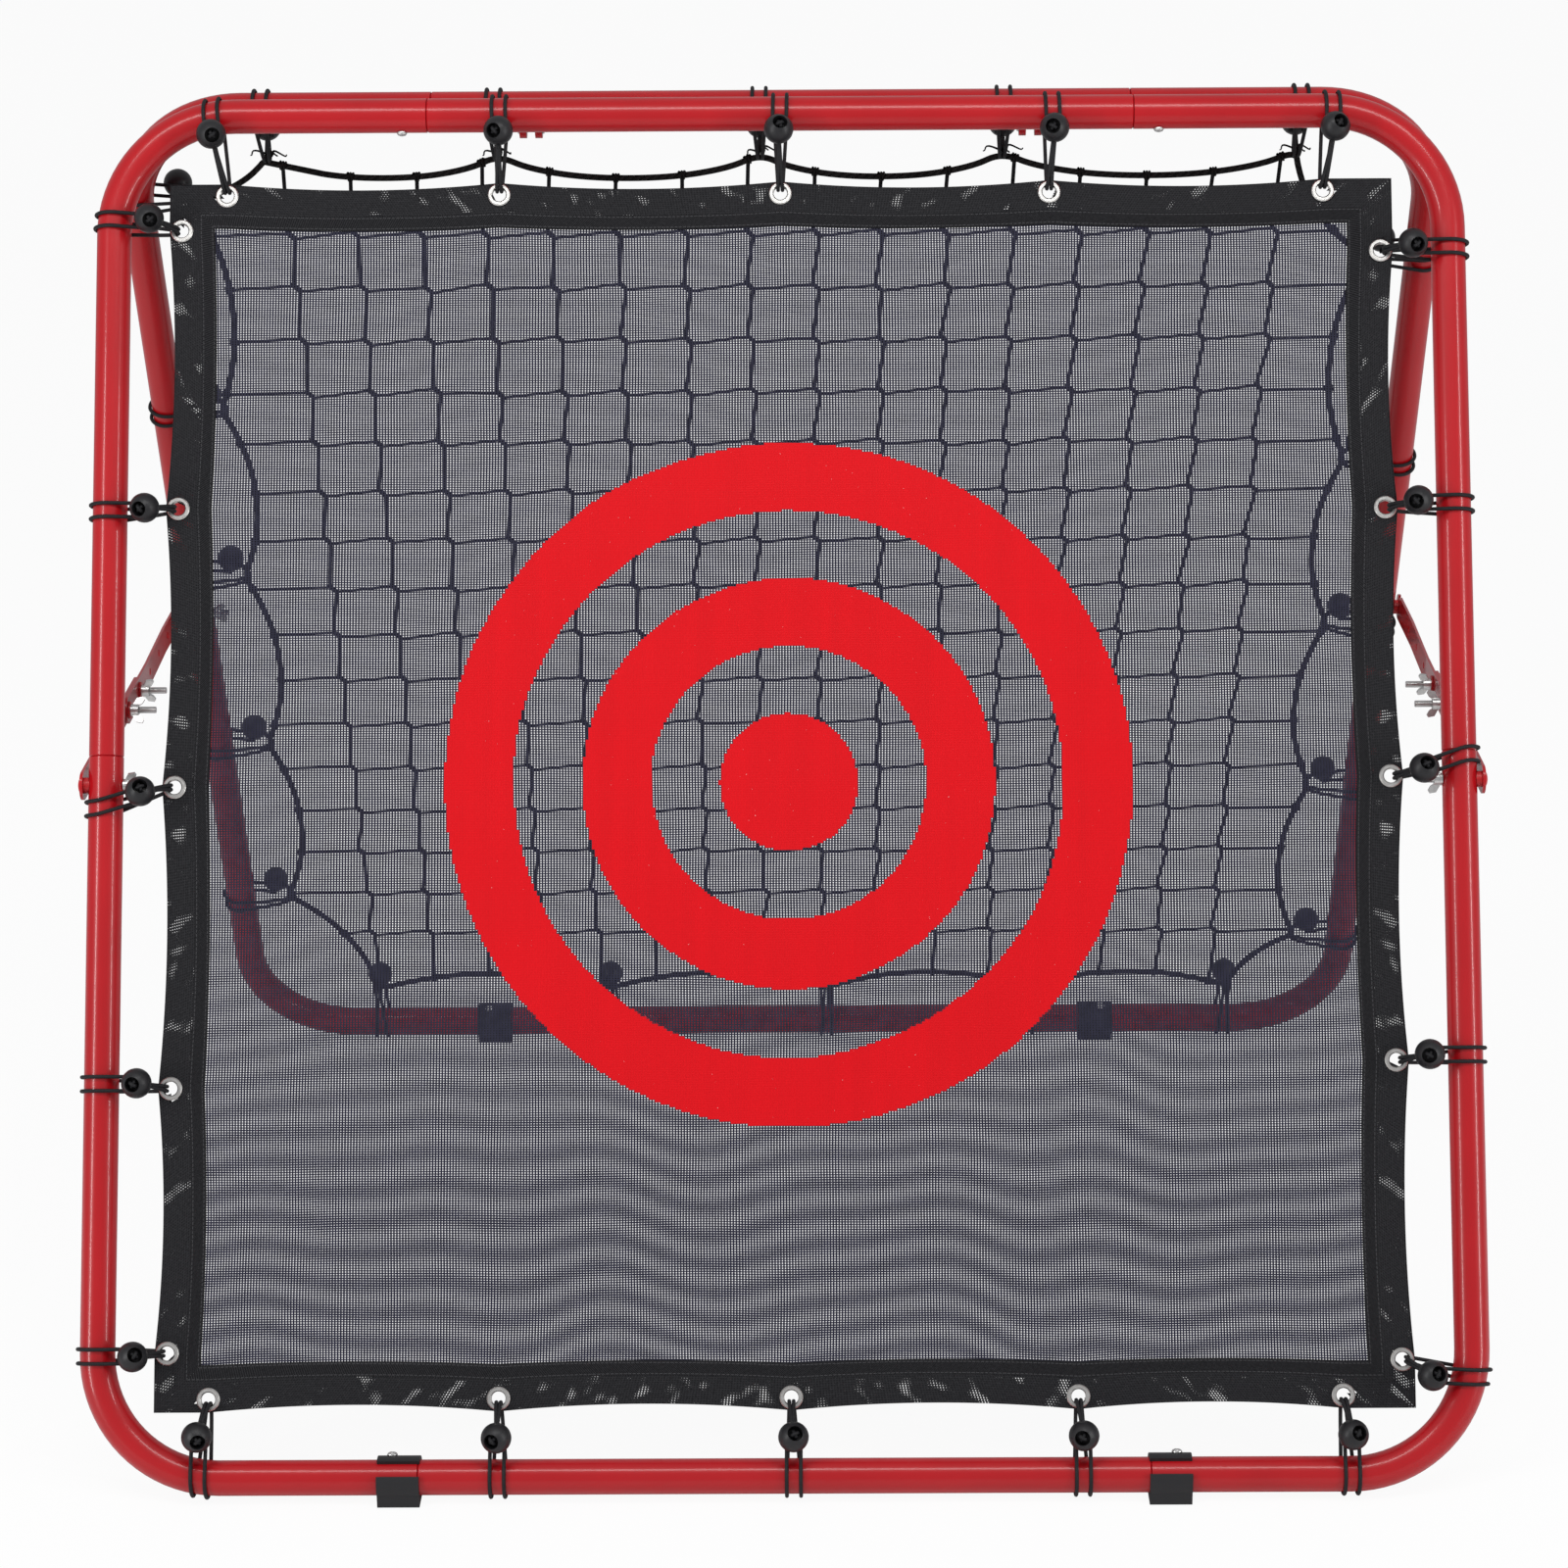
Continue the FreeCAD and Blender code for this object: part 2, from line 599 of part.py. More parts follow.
def bar_body(name, strip, holes):
    """A flat bar from its strip outline seen on edge, with round ends and its holes."""
    body = doc.addObject("PartDesign::Body", name)
    edge = sketch_on(body, name + "_strip", "XY_Plane")
    outline(edge, strip)
    pad(body, name + "_pad", edge, "bar_width", middle_plane=True)
    drill = sketch_on(body, name + "_drill", "XZ_Plane")
    for reach_back in holes:
        circle(drill, "bar_hole_diameter / 2", (reach_back, "0"))
    drilled = pocket(body, name + "_holes", drill)
    doc.recompute()
    box = body.Shape.BoundBox
    corners = []
    for index, item in enumerate(body.Shape.Edges, start=1):
        spot = item.BoundBox
        upright = max(spot.XLength, spot.ZLength) < size("snug_gap")
        if upright and min(spot.XMin - box.XMin, box.XMax - spot.XMax) < size("snug_gap"):
            corners.append(f"Edge{index}")
    rounds = body.newObject("PartDesign::Fillet", name + "_rounds")
    rounds.Base = (drilled, corners)
    rounds.setExpression("Radius", linked(f"{END_ROUND} * bar_width"))
    body.Tip = rounds
    return body


def front_bar(name):
    """The outer bar of the lap, with a row of holes to choose from."""
    holes = ["0"] + [f"brace_bolt_reach - {step} * bar_hole_pitch" for step in range(5)]
    start = "-bar_width / 2"
    end = "brace_bolt_reach + bar_width / 2"
    return bar_body(name, [(start, "0"), (end, "0"), (end, "bar_thickness"), (start, "bar_thickness")], holes)


def notch_angle():
    """The way out for the rear bolt, in degrees from the bar's reach, as the frames start to close."""
    bolt_from_pin = Vector(0, bolt_y, bolt_z - pivot.z)
    bolt_speed = Vector(0, bolt_from_pin.z, -bolt_from_pin.y)
    bar_speed = Vector(0, 0, -size("brace_span") * size("brace_ratio"))
    way = bolt_speed - bar_speed
    return math.degrees(math.atan2(way.z, way.y))


def rear_bar(name, up):
    """The inner bar of the lap, set out past it by its own thickness, with a notch above the rear bolt."""
    start = "brace_bolt_reach - brace_bolt_pitch - bar_width / 2"
    end = "brace_span + bar_width / 2"
    bend = "(brace_bolt_reach + bar_joggle_start)"
    strip = [
        (start, f"-{LAP}"),
        (bend, f"-{LAP}"),
        (f"{bend} + bar_joggle_length", "0"),
        (end, "0"),
        (end, "bar_thickness"),
        (f"{bend} + bar_joggle_length", "bar_thickness"),
        (bend, f"bar_thickness - {LAP}"),
        (start, f"bar_thickness - {LAP}"),
    ]
    holes = [f"brace_bolt_reach + {step} * brace_bolt_pitch" for step in range(-1, 4)] + ["brace_span"]
    body = bar_body(name, strip, holes)
    way = up * notch_angle()
    half = "bar_hole_diameter / 2"
    notch = sketch_on(body, name + "_notch", "XZ_Plane")
    outline(notch, [
        (f"brace_span - {half} * sin({way})", f"{half} * cos({way})"),
        (f"brace_span + {half} * sin({way})", f"-{half} * cos({way})"),
        (f"brace_span + {half} * sin({way}) + bar_width * cos({way})",
         f"-{half} * cos({way}) + bar_width * sin({way})"),
        (f"brace_span - {half} * sin({way}) + bar_width * cos({way})",
         f"{half} * cos({way}) + bar_width * sin({way})"),
    ])
    pocket(body, name + "_notch_cut", notch)
    return body


BRACE_NUT_TILTS = {"left": (20.0, -35.0), "right": (-25.0, 15.0)}
for side, sign in SIDES.items():
    bar_turn = Rotation(Y_AXIS, Vector(sign, 0, 0), Vector(0, 0, -sign), "XYZ")
    for name, bar in ((f"{side}_brace_front_bar", front_bar(f"{side}_brace_front_bar")),
                      (f"{side}_brace_rear_bar", rear_bar(f"{side}_brace_rear_bar", -sign))):
        bar.Placement = Placement(Vector(sign * bar_inner, -bolt_y, bolt_z), bar_turn)
        node(bar, name)
    bolts = []
    washers = []
    for index, tilt in enumerate(BRACE_NUT_TILTS[side]):
        reach_back = size("brace_bolt_reach") - index * size("brace_bolt_pitch")
        spot = Vector(0, reach_back - bolt_y, bolt_z)
        bolts.append(moved(brace_bolt.Shape, Placement(spot + X_AXIS * sign * head_seat, facing(side))))
        washers.append(moved(washer.Shape, Placement(spot + X_AXIS * sign * washer_seat, inwards(side))))
        name = f"{side}_brace_wing_nut_{index + 1}"
        nut = wing_nut(name)
        nut.Placement = Placement(spot + X_AXIS * sign * brace_nut_seat,
                                  inwards(side).multiply(turned(Z_AXIS, tilt)))
        node(nut, name)
    feature(f"{side}_brace_bolts", Part.makeCompound(bolts))
    feature(f"{side}_brace_washers", Part.makeCompound(washers))

# Lacing. Each tie is (place of the eyelet, of the ball, of the strands) along its tube, in mm: from the
# middle along the top and bottom tubes, down from the top tube along the sides. The hand-laced sheet pulls
# each one to its own place. The rear lists are in the rear frame's own axes.

FRONT_TIES = {
    "top": [(-486, -497, -500), (-247, -246, -247), (0, -1, 0), (236, 240, 239), (476, 485, 485)],
    "left": [(103, 97, 95), (350, 353, 353), (594, 600, 613), (854, 850, 850), (1079, 1081, 1081)],
    "right": [(126, 125, 126), (354, 352, 352), (589, 585, 571), (834, 830, 830), (1088, 1101, 1103)],
    "bottom": [(-490, -496, -496), (-243, -243, -243), (6, 8, 8), (250, 253, 253), (475, 480, 480)],
}
REAR_TIES = {
    "top": [(-462, -462, -462), (-198, -199, -198), (19, 19, 19), (255, 255, 255), (462, 463, 462)],
    "left": [(165, 163, 165), (405, 404, 405), (613, 613, 617), (835, 834, 835), (1055, 1057, 1055)],
    "right": [(96, 95, 96), (338, 337, 338), (545, 544, 545), (770, 769, 770), (990, 989, 990)],
    "bottom": [(-467, -467, -467), (-253, -253, -253), (-35, -35, -35), (200, 200, 200), (451, 451, 451)],
}
sheet_top = size("sheet_drop") - size("sheet_height") / 2
sheet_bottom = size("sheet_drop") + size("sheet_height") / 2
eyelet_reach = {
    "top": sheet_top + size("grommet_inset"),
    "bottom": size("frame_height") - sheet_bottom + size("grommet_inset"),
    "left": half_width - size("sheet_width") / 2 + size("grommet_inset"),
    "right": half_width - size("sheet_width") / 2 + size("grommet_inset"),
}


def on_frame(side, outward, normal, along):
    """A point by a tube: outward from the tube's middle, normal away from the other frame."""
    if side == "top":
        return Vector(along, -normal, outward)
    if side == "bottom":
        return Vector(along, -normal, -size("frame_height") - outward)
    return Vector(SIDES[side] * (half_width + outward), -normal, -along)


def on_tube(side, outward, normal, along):
    """A point by a tube that follows the tube where it bends, and is spread out across its slant there."""
    radius = size("bend_radius")
    if side in ("top", "bottom"):
        past = abs(along) - (half_width - radius)
    else:
        past = max(radius - along, along - (size("frame_height") - radius))
    level = math.sqrt(radius ** 2 - max(past, 0.0) ** 2)
    return on_frame(side, outward * radius / level - (radius - level), normal, along)


# The arc at each corner of a route takes this share of its shorter run
CORNER_SHARE = 0.45
VOLUME_SHARE = 0.01


def route(points, closed=False):
    """Straight runs joined by tangent arcs, and the tightest radius among them."""
    count = len(points)
    corners = list(range(count)) if closed else list(range(1, count - 1))
    bends = {}
    tightest = math.inf
    for index in corners:
        here = points[index]
        back = points[index - 1] - here
        ahead = points[(index + 1) % count] - here
        run = min(back.Length, ahead.Length)
        half_turn = (math.pi - back.getAngle(ahead)) / 2
        radius = CORNER_SHARE * run / math.tan(half_turn)
        back = back.normalize() * (CORNER_SHARE * run)
        ahead = ahead.normalize() * (CORNER_SHARE * run)
        crown = (back + ahead).normalize() * (radius / math.cos(half_turn) - radius)
        bends[index] = (here + back, here + crown, here + ahead)
        tightest = min(tightest, radius)
    edges = []
    spot = bends[corners[-1]][2] if closed else points[0]
    for index in corners:
        start, crown, end = bends[index]
        edges.append(Part.LineSegment(spot, start).toShape())
        edges.append(Part.Arc(start, crown, end).toShape())
        spot = end
    if not closed:
        edges.append(Part.LineSegment(spot, points[-1]).toShape())
    return Part.Wire(edges), tightest


def tube_along(points, diameter, closed=False):
    """A round solid tube along a route, with the route's length and its tightest radius."""
    path, tightest = route(points, closed)
    first = path.Edges[0]
    start = first.valueAt(first.FirstParameter)
    heading = first.tangentAt(first.FirstParameter)
    ring = Part.Wire([Part.makeCircle(diameter / 2, start, heading)])
    solid = path.makePipeShell([ring], True, False)
    expected = math.pi * diameter * diameter / 4 * path.Length
    if abs(solid.Volume / expected - 1) > VOLUME_SHARE:
        raise ValueError(f"tube volume {solid.Volume:.1f} against {expected:.1f}")
    return solid, path.Length, tightest


WRAP_ANGLES = (75.0, 25.0, -25.0, -75.0)
WRAP_STEP = 25.0
LEAVING_ANGLE = WRAP_ANGLES[0] + WRAP_STEP - QUARTER_TURN
wrap_corner = (tube_radius + size("cord_gap") + size("cord_diameter") / 2) / math.cos(math.radians(WRAP_STEP))
wrap = [(wrap_corner * math.cos(math.radians(angle)), wrap_corner * math.sin(math.radians(angle)))
        for angle in WRAP_ANGLES]


def strand_rise(reach_in):
    """How far in front of the tube's middle a strand lies, where it leaves the tube on its touching line."""
    return wrap[0][1] - (reach_in + wrap[0][0]) * math.tan(math.radians(LEAVING_ANGLE))


def tie_pieces(side, turn, ball_reach, places, lift):
    """The two strands of one tie and the middle of its ball.

    Each strand starts under the ball, goes over the tube, behind it, back to the turn at the eyelet or the
    rope, through it to the front and up into the ball.
    """
    eye, ball_at, strands_at = places
    under = ball_reach + BALL_OVERHANG
    centre = on_tube(side, -ball_reach, strand_rise(ball_reach) + lift + size("ball_diameter") / 2
                     + size("ball_seat"), ball_at)
    depth = size("strand_turn_depth")
    strands = []
    for half in (-1, 1):
        spread = half * size("strand_spread")
        pinch = half * size("strand_pinch")
        behind = on_frame(side, -(turn - size("strand_turn_lean")), -depth, eye + pinch)
        before = on_frame(side, -turn, depth, eye + pinch)
        into_ball = before - centre
        neck = centre + into_ball.normalize() * (size("ball_diameter") / 2 - NECK_SINK)
        points = [on_tube(side, -under, strand_rise(under) + lift, ball_at + spread)]
        points += [on_tube(side, out, rise, strands_at + spread) for out, rise in wrap]
        points += [behind, before, neck]
        strands.append(tube_along(points, size("cord_diameter")))
    return strands, centre


BALL_OVERHANG = 2.0
NECK_SINK = 1.0
CUP_TILTS = (14.0, -18.0, 8.0, -10.0, 20.0)
MIDDLE_TIE = 2


def tie_ball(centre, tilt, lean_out):
    """A round knob with a cup hole that faces the front of its own frame, tilted two ways."""
    radius = size("ball_diameter") / 2
    globe = Part.makeSphere(radius)
    cup = Part.makeCylinder(size("ball_cup_diameter") / 2, radius, Vector(0, 0, radius - size("ball_cup_depth")))
    knob = globe.cut(cup)
    knob.Placement = Placement(centre, turned(Z_AXIS, tilt).multiply(turned(X_AXIS, QUARTER_TURN + lean_out)))
    return knob


cord_lengths = []
radii = []
for frame, ties, reaches in (
    ("front", FRONT_TIES, {side: reach_in - size("eyelet_pull") for side, reach_in in eyelet_reach.items()}),
    ("rear", REAR_TIES, {side: size("rope_reach") + size("rope_diameter") / 2 + size("cord_diameter") / 2
                         + size("rope_wrap") for side in eyelet_reach}),
):
    cords = {}
    balls = {}
    for side, places in ties.items():
        ball_reach = size("ball_reach")
        if (frame, side) == ("rear", "bottom"):
            ball_reach = size("low_rear_ball_reach")
        elif (frame, side) == ("front", "top"):
            ball_reach = size("top_ball_reach")
        cords[side] = []
        balls[side] = []
        for index, place in enumerate(places):
            by_bolt = side in SIDES and index == MIDDLE_TIE
            lift = size("bolt_tie_lift") if by_bolt else 0.0
            strands, centre = tie_pieces(side, reaches[side], ball_reach, place, lift)
            for solid, length, tightest in strands:
                cords[side].append(solid)
                cord_lengths.append(length)
                radii.append(tightest)
            balls[side].append(tie_ball(centre, CUP_TILTS[index], CUP_TILTS[index - 1]))
    if frame == "front":
        for side in ties:
            feature(f"front_tie_cords_{side}", Part.makeCompound(cords[side]), FRONT)
            feature(f"front_tie_balls_{side}", Part.makeCompound(balls[side]), FRONT)
    else:
        feature("rear_tie_cords", Part.makeCompound(sum(cords.values(), [])), REAR)
        feature("rear_tie_balls", Part.makeCompound(sum(balls.values(), [])), REAR)
print(f"strands {len(cord_lengths)}, length {min(cord_lengths):.1f} to {max(cord_lengths):.1f} mm, "
      f"tightest radius {min(radii):.1f} mm")

# Mesh sheet, its hem and its eyelets, drawn in the front frame's own axes with the sheet at y = 0


def sheet_outline():
    """The sheet's edge: full size at each eyelet, drawn in by a shallow arc between two of them."""
    half = size("sheet_width") / 2
    dip = size("sheet_edge_dip")
    corners = [Vector(-half, 0, -sheet_top), Vector(half, 0, -sheet_top),
               Vector(half, 0, -sheet_bottom), Vector(-half, 0, -sheet_bottom)]
    posts = [
        [Vector(eye, 0, -sheet_top) for eye, _, _ in FRONT_TIES["top"]],
        [Vector(half, 0, -eye) for eye, _, _ in FRONT_TIES["right"]],
        [Vector(eye, 0, -sheet_bottom) for eye, _, _ in reversed(FRONT_TIES["bottom"])],
        [Vector(-half, 0, -eye) for eye, _, _ in reversed(FRONT_TIES["left"])],
    ]
    inward = [Vector(0, 0, -dip), Vector(-dip, 0, 0), Vector(0, 0, dip), Vector(dip, 0, 0)]
    edges = []
    for index, row_of_posts in enumerate(posts):
        edges.append(Part.LineSegment(corners[index], row_of_posts[0]).toShape())
        for start, end in zip(row_of_posts, row_of_posts[1:]):
            edges.append(Part.Arc(start, (start + end) * 0.5 + inward[index], end).toShape())
        edges.append(Part.LineSegment(row_of_posts[-1], corners[(index + 1) % len(corners)]).toShape())
    return Part.Face(Part.Wire(edges))


def eyelet_centres():
    """Where each eyelet sits, in the front frame's own axes."""
    return [on_frame(side, -eyelet_reach[side], 0, eye) for side, ties in FRONT_TIES.items() for eye, _, _ in ties]


def forward(length):
    """A step away from the other frame."""
    return Vector(0, -length, 0)


PUNCH_LENGTH = 20.0
sheet_half = size("sheet_thickness") / 2
hole_radius = size("grommet_bore") / 2 + size("grommet_wall") + size("grommet_gap")
punches = [Part.makeCylinder(hole_radius, PUNCH_LENGTH, spot + forward(-PUNCH_LENGTH / 2), forward(1))
           for spot in eyelet_centres()]
face = sheet_outline()
cloth = moved(face, Placement(forward(-sheet_half), Rotation())).extrude(forward(size("sheet_thickness")))
feature("mesh_sheet", cloth.cut(punches), FRONT)
hem_blank = moved(face, Placement(forward(sheet_half), Rotation())).extrude(forward(size("hem_thickness")))
window = Part.makeBox(size("sheet_width") - 2 * size("hem_width"), PUNCH_LENGTH,
                      size("sheet_height") - 2 * size("hem_width"))
window.Placement = Placement(Vector(size("hem_width") - size("sheet_width") / 2, -PUNCH_LENGTH / 2,
                                    size("hem_width") - sheet_bottom), Rotation())
feature("mesh_hem", hem_blank.cut(punches + [window]), FRONT)

EYELET_BACK = "(-sheet_thickness / 2 - grommet_gap)"
EYELET_FRONT = "(sheet_thickness / 2 + hem_thickness + grommet_gap)"
grommet = revolved("grommet_pattern", [
    ("grommet_bore / 2", f"{EYELET_BACK} - grommet_rim"),
    ("grommet_diameter / 2", f"{EYELET_BACK} - grommet_rim"),
    ("grommet_diameter / 2", EYELET_BACK),
    ("grommet_bore / 2 + grommet_wall", EYELET_BACK),
    ("grommet_bore / 2 + grommet_wall", EYELET_FRONT),
    ("grommet_diameter / 2", EYELET_FRONT),
    ("grommet_diameter / 2", f"{EYELET_FRONT} + 0.4 * grommet_rim"),
    ("grommet_diameter / 2 - 0.6 * grommet_rim", f"{EYELET_FRONT} + grommet_rim"),
    ("grommet_bore / 2 + 0.6 * grommet_rim", f"{EYELET_FRONT} + grommet_rim"),
    ("grommet_bore / 2", f"{EYELET_FRONT} + 0.4 * grommet_rim"),
])
doc.recompute()
feature("mesh_grommets",
        Part.makeCompound([moved(grommet.Shape, Placement(spot, AGAINST_Y)) for spot in eyelet_centres()]), FRONT)

# Net and its border rope, drawn in the rear frame's own axes at y = 0. The rope hangs in a scallop between
# two ties, deepest in its middle

SCALLOP_SHARES = (0.12, 0.35, 0.65, 0.88)
SCALLOP_CHORD = 220.0
LEAST_GAP_AREA = 20.0


def border(inset):
    """Points along the net's border, drawn in from the rope's line by an inset."""
    reach_in = size("rope_reach") + inset
    level = half_width - reach_in
    low = size("frame_height") - reach_in
    posts = [Vector(eye, 0, -reach_in) for eye, _, _ in REAR_TIES["top"]]
    posts += [Vector(level, 0, -eye) for eye, _, _ in REAR_TIES["right"]]
    posts += [Vector(eye, 0, -low) for eye, _, _ in reversed(REAR_TIES["bottom"])]
    posts += [Vector(-level, 0, -eye) for eye, _, _ in reversed(REAR_TIES["left"])]
    points = []
    for start, end in zip(posts, posts[1:] + posts[:1]):
        chord = end - start
        inward = Vector(chord.z, 0, -chord.x).normalize()
        dip = size("rope_dip") * min(1.0, chord.Length / SCALLOP_CHORD)
        points.append(start)
        for share in SCALLOP_SHARES:
            points.append(start + chord * share + inward * dip * 4 * share * (1 - share))
    return points


rope, rope_length, rope_radius = tube_along(border(0.0), size("rope_diameter"), closed=True)
feature("net_border_rope", rope, REAR)
print(f"border rope {rope_length:.0f} mm, tightest radius {rope_radius:.1f} mm")

outer_line, _ = route(border(0.0), closed=True)
inner_line, _ = route(border(size("rope_diameter") / 2 + size("net_strand")), closed=True)
inner_face = Part.Face(inner_line)
edge_reach = size("rope_reach") + size("rope_dip")
columns = int(size("net_columns"))
rows = int(size("net_rows"))
column_step = 2 * (half_width - edge_reach) / columns
row_step = (size("frame_height") - 2 * edge_reach) / rows
half_strand = size("net_strand") / 2
gaps = []
for column in range(columns):
    left = edge_reach - half_width + column * column_step + half_strand
    right = left + column_step - size("net_strand")
    left = -half_width if column == 0 else left
    right = half_width if column == columns - 1 else right
    for row_index in range(rows):
        high = -edge_reach - row_index * row_step - half_strand
        low = high - row_step + size("net_strand")
        high = 0.0 if row_index == 0 else high
        low = -size("frame_height") if row_index == rows - 1 else low
        corners = [Vector(left, 0, high), Vector(right, 0, high), Vector(right, 0, low), Vector(left, 0, low)]
        cell = Part.Face(Part.makePolygon(corners + corners[:1]))
        if column in (0, columns - 1) or row_index in (0, rows - 1):
            gaps += [piece for piece in cell.common(inner_face).Faces if piece.Area > LEAST_GAP_AREA]
        else:
            gaps.append(cell)
net_face = Part.Face(outer_line).cut(gaps)
net_back = forward(-size("net_thickness") / 2)
net = moved(net_face, Placement(net_back, Rotation())).extrude(forward(size("net_thickness")))
feature("rear_net", net, REAR)
print(f"net gaps {len(gaps)}")

# Every object is sound before anything is written

doc.recompute()
for item in doc.Objects:
    if "Invalid" in item.State or "Error" in item.State:
        raise ValueError(f"{item.Name}: {item.State}")
for item in nodes:
    if item.Shape.isNull() or not item.Shape.isValid() or not item.Shape.Solids:
        raise ValueError(f"{item.Label} has no sound solid")

os.makedirs("parts", exist_ok=True)
for item in nodes:
    item.Shape.exportStep(f"parts/{item.Label}.step")
whole = Part.makeCompound([item.Shape for item in nodes]).BoundBox
print(f"{len(nodes)} nodes, {whole.XLength:.1f} x {whole.YLength:.1f} x {whole.ZLength:.1f} mm, "
      f"from {whole.XMin:.2f} {whole.YMin:.2f} {whole.ZMin:.2f}")
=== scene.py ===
import math

import bpy
import numpy as np
from mathutils import Matrix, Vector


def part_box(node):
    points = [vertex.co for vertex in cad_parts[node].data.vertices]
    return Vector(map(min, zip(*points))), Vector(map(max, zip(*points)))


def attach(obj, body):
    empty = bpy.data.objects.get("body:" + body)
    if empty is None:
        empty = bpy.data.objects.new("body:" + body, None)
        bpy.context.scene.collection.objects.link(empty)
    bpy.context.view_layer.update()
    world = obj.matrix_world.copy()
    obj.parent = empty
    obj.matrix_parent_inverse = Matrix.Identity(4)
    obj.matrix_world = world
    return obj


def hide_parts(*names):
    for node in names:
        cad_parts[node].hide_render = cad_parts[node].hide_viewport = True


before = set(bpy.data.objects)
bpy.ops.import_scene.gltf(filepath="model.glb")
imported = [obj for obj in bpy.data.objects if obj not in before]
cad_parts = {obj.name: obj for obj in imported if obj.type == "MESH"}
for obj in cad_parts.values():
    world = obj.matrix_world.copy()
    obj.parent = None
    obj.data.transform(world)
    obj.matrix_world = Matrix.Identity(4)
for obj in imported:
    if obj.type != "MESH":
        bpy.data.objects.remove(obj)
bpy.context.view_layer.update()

# Studio
# A white paper floor under three soft lamps, seen by a long lens from above the top tube and slightly
# to the right, as the photograph was taken.

IMAGE_SIDE = 1600.0
FOCAL_PIXELS = 4069.06
CAMERA_AT = (0.0474, -3.5334, 1.6593)
CAMERA_YAW = math.radians(-0.30)
CAMERA_PITCH = math.radians(18.624)
CAMERA_ROLL = math.radians(-0.37)
AXIS_PIXEL = (834.0, 796.7)
SENSOR = 36.0

camera = bpy.data.objects.new("camera", bpy.data.cameras.new("camera"))
camera.data.sensor_width = SENSOR
camera.data.lens = FOCAL_PIXELS / IMAGE_SIDE * SENSOR
camera.data.shift_x = (IMAGE_SIDE / 2 - AXIS_PIXEL[0]) / IMAGE_SIDE
camera.data.shift_y = (AXIS_PIXEL[1] - IMAGE_SIDE / 2) / IMAGE_SIDE
ahead = np.array([math.sin(CAMERA_YAW) * math.cos(CAMERA_PITCH),
                  math.cos(CAMERA_YAW) * math.cos(CAMERA_PITCH), -math.sin(CAMERA_PITCH)])
level = np.array([math.cos(CAMERA_YAW), -math.sin(CAMERA_YAW), 0.0])
above = np.cross(level, ahead)
across = math.cos(CAMERA_ROLL) * level + math.sin(CAMERA_ROLL) * above
upright = math.cos(CAMERA_ROLL) * above - math.sin(CAMERA_ROLL) * level
pose = np.eye(4)
pose[:3, 0], pose[:3, 1], pose[:3, 2], pose[:3, 3] = across, upright, -ahead, CAMERA_AT
camera.matrix_world = Matrix(pose.tolist())
bpy.context.scene.collection.objects.link(camera)
bpy.context.scene.camera = camera


def lamp(name, at, towards, width, height, watts):
    """A soft rectangular lamp at a point, turned to face another point."""
    item = bpy.data.objects.new(name, bpy.data.lights.new(name, "AREA"))
    item.data.shape = "RECTANGLE"
    item.data.size = width
    item.data.size_y = height
    item.data.energy = watts
    away = np.array(at, float) - np.array(towards, float)
    away /= np.linalg.norm(away)
    side = np.cross((0.0, 0.0, 1.0), away)
    side /= np.linalg.norm(side)
    turn = np.eye(4)
    turn[:3, 0], turn[:3, 1], turn[:3, 2], turn[:3, 3] = side, np.cross(away, side), away, at
    item.matrix_world = Matrix(turn.tolist())
    bpy.context.scene.collection.objects.link(item)


lamp("strip_left", (-2.4, -2.0, 1.3), (0.0, 0.0, 0.6), 0.30, 2.2, 34.0)
lamp("strip_right", (2.7, -1.7, 1.3), (0.0, 0.0, 0.6), 0.22, 2.2, 30.0)
lamp("overhead", (0.0, -1.5, 2.9), (0.0, 0.0, 0.5), 2.8, 0.5, 34.0)


class Shade:
    """A socket of a material's nodes; sums and products with it add Math nodes."""

    def __init__(self, tree, socket=None):
        self.tree = tree
        self.socket = socket

    def node(self, kind, settings=None, inputs=None, output=0):
        """A node of any kind: its settings are made first, then its sockets take values or links."""
        item = self.tree.nodes.new(kind)
        for key, value in (settings or {}).items():
            setattr(item, key, value)
        for key, value in (inputs or {}).items():
            if isinstance(value, Shade):
                self.tree.links.new(value.socket, item.inputs[key])
            else:
                item.inputs[key].default_value = value
        return Shade(self.tree, item.outputs[output])

    def calc(self, operation, *others):
        """One Math node with this value first, then the other numbers or sockets."""
        return self.node("ShaderNodeMath", {"operation": operation}, dict(enumerate((self, *others))))

    def __add__(self, other):
        return self.calc("ADD", other)

    def __sub__(self, other):
        return self.calc("SUBTRACT", other)

    def __mul__(self, other):
        return self.calc("MULTIPLY", other)

    def __truediv__(self, other):
        return self.calc("DIVIDE", other)

    def __lt__(self, other):
        return self.calc("LESS_THAN", other)

    def __gt__(self, other):
        return self.calc("GREATER_THAN", other)

    def __rsub__(self, other):
        return self.node("ShaderNodeMath", {"operation": "SUBTRACT"}, {0: other, 1: self})

    __radd__ = __add__
    __rmul__ = __mul__

    def mix(self, low, high):
        """From one colour to another as this value goes from 0 to 1."""
        return self.node("ShaderNodeMix", {"data_type": "RGBA"}, {0: self, 6: low, 7: high}, 2)

    def noise(self, coordinates, scale, detail=2.0, rough=0.5):
        """Cloudy noise between 0 and 1."""
        return self.node("ShaderNodeTexNoise", {}, {"Vector": coordinates, "Scale": scale, "Detail": detail,
                                                    "Roughness": rough})

    def stretched(self, across, down):
        """This vector with its first two coordinates multiplied."""
        return self.node("ShaderNodeVectorMath", {"operation": "MULTIPLY"}, {0: self, 1: (across, down, 1.0)})

    def split(self, axis):
        """One coordinate of a vector."""
        return self.node("ShaderNodeSeparateXYZ", {}, {0: self}, "XYZ".index(axis))


